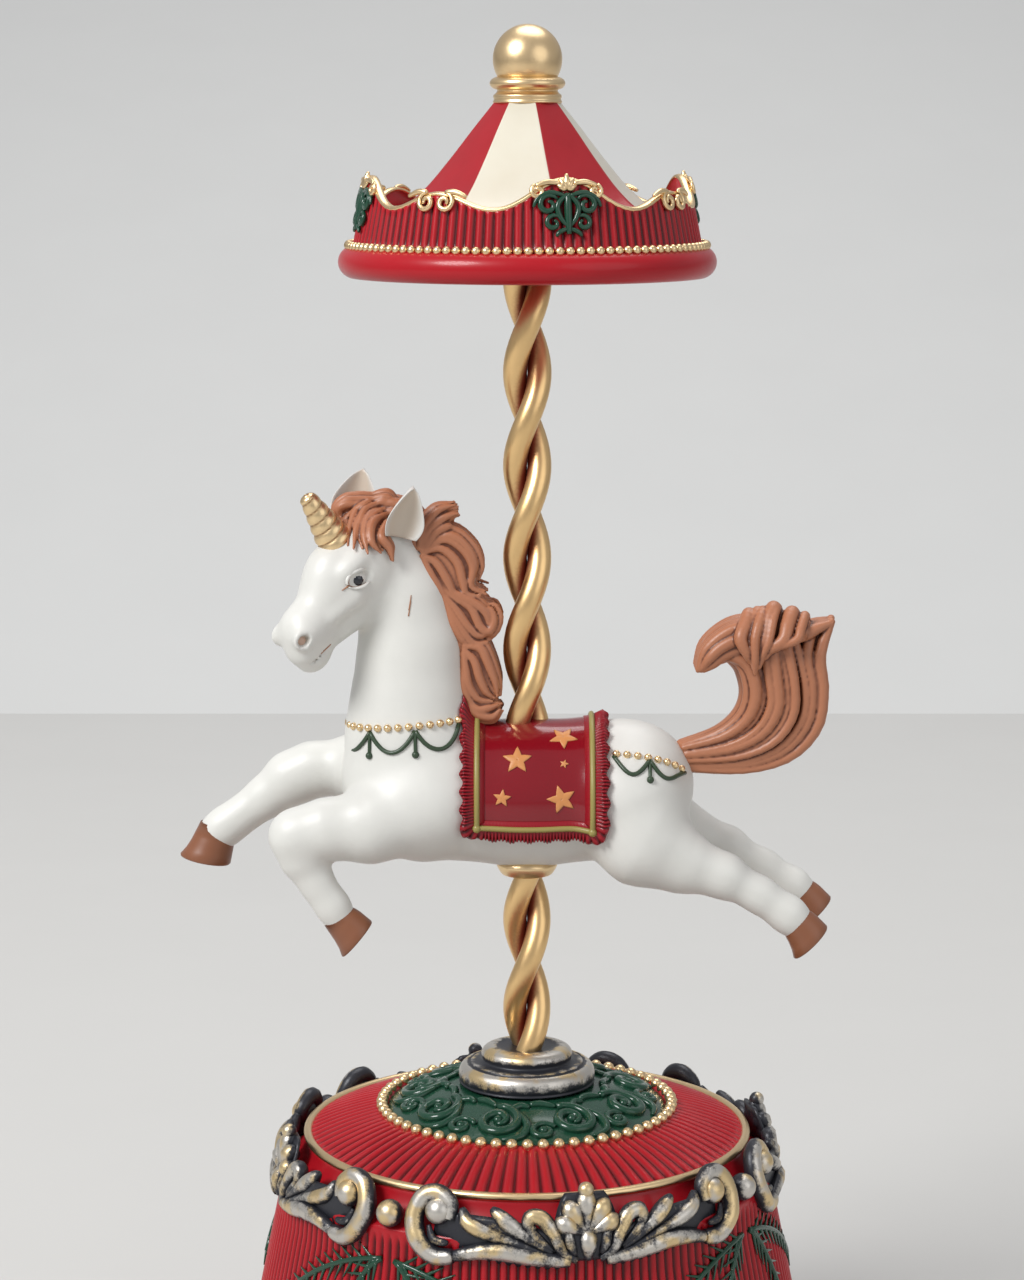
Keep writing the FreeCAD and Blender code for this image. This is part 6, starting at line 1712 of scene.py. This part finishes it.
def paint_movement():
    """Gives each solid that still shows the finish of its record slot."""
    finishes = {
        "rubber_pad": RUBBER,
        "cover_board": BOARD,
        "movement_casting": CASTING,
        "movement_steel": STEEL,
        "movement_brass": BRASS,
    }
    for row in frame["record"]["subparts"]:
        solid = frame["nodes"][row["node"]]
        if not solid.hide_render:
            solid.data.materials.clear()
            solid.data.materials.append(finishes[row["material_slot"]])


# Studio

CAMERA_DISTANCE = 0.626
CAMERA_RISE = 0.1958    # above the gilt ring
CAMERA_PITCH = math.radians(8.97)
CAMERA_SHIFT = -0.0029
LENS = 92.8
FLOOR_HALF = 4          # half of the floor's width
FLOOR_EDGES = ((-4, 0), (0.80, 0))      # (y, z) of its front edge and of its back edge, metres
SLOPE_EDGES = ((0.80, 0), (3.0, 0.99))  # a gentle slope rises behind it


def studio_sheet(name, colour, edges):
    """A plain pale sheet of floor or slope between two level edges, faintly mottled."""
    paint = Paint(name)
    cloud = paint.noise(60.0, 5.0)
    tone = paint.mix(cloud, colour, tuple(0.96 * c for c in colour))
    paint.feed(base_color=tone, roughness=0.75 + cloud * 0.1)
    front, back = edges
    corners = [(-FLOOR_HALF, *front), (FLOOR_HALF, *front), (FLOOR_HALF, *back), (-FLOOR_HALF, *back)]
    mesh = bpy.data.meshes.new(name)
    mesh.from_pydata(corners, [], [(0, 1, 2, 3)])
    mesh.materials.append(paint.material)
    sheet = bpy.data.objects.new(name, mesh)
    bpy.context.scene.collection.objects.link(sheet)


def area_light(name, place, aim, size, power):
    lamp = bpy.data.lights.new(name, "AREA")
    lamp.shape, lamp.size, lamp.energy = "DISK", size, power
    thing = bpy.data.objects.new(name, lamp)
    thing.location = place
    way = Vector(aim) - Vector(place)
    thing.rotation_euler = way.to_track_quat("-Z", "Y").to_euler()
    bpy.context.scene.collection.objects.link(thing)


def make_studio():
    studio_sheet("studio_floor", (0.545, 0.538, 0.518), FLOOR_EDGES)
    studio_sheet("studio_slope", (0.56, 0.56, 0.547), SLOPE_EDGES)
    area_light("key", (-0.75, -0.65, 0.95), (0, 0, 0.15), 0.55, 15)
    area_light("fill", (0.9, -0.9, 0.6), (0, 0, 0.13), 1.2, 3)
    area_light("top", (0.1, 0.35, 1.2), (0, 0, 0.1), 0.9, 6)
    area_light("backdrop", (0, 0.9, 1.5), (0, 2.2, 0.6), 1.0, 8.5)
    world = bpy.data.worlds.new("studio air")
    world.use_nodes = True
    air = world.node_tree.nodes["Background"]
    air.inputs["Color"].default_value = (0.95, 0.96, 1.0, 1)
    air.inputs["Strength"].default_value = 0.45
    bpy.context.scene.world = world
    camera = bpy.data.cameras.new("camera")
    camera.lens, camera.sensor_width, camera.sensor_fit = LENS, 36, "AUTO"
    camera.clip_start, camera.clip_end = 0.01, 50
    eye = bpy.data.objects.new("camera", camera)
    eye.location = (CAMERA_SHIFT, -CAMERA_DISTANCE, RING_Z * MM + CAMERA_RISE)
    eye.rotation_euler = (math.pi / 2 - CAMERA_PITCH, 0, 0)
    bpy.context.scene.collection.objects.link(eye)
    bpy.context.scene.camera = eye
    bpy.context.scene.view_settings.view_transform = "Standard"


make_base()
make_canopy()
make_unicorn()
paint_movement()
make_studio()
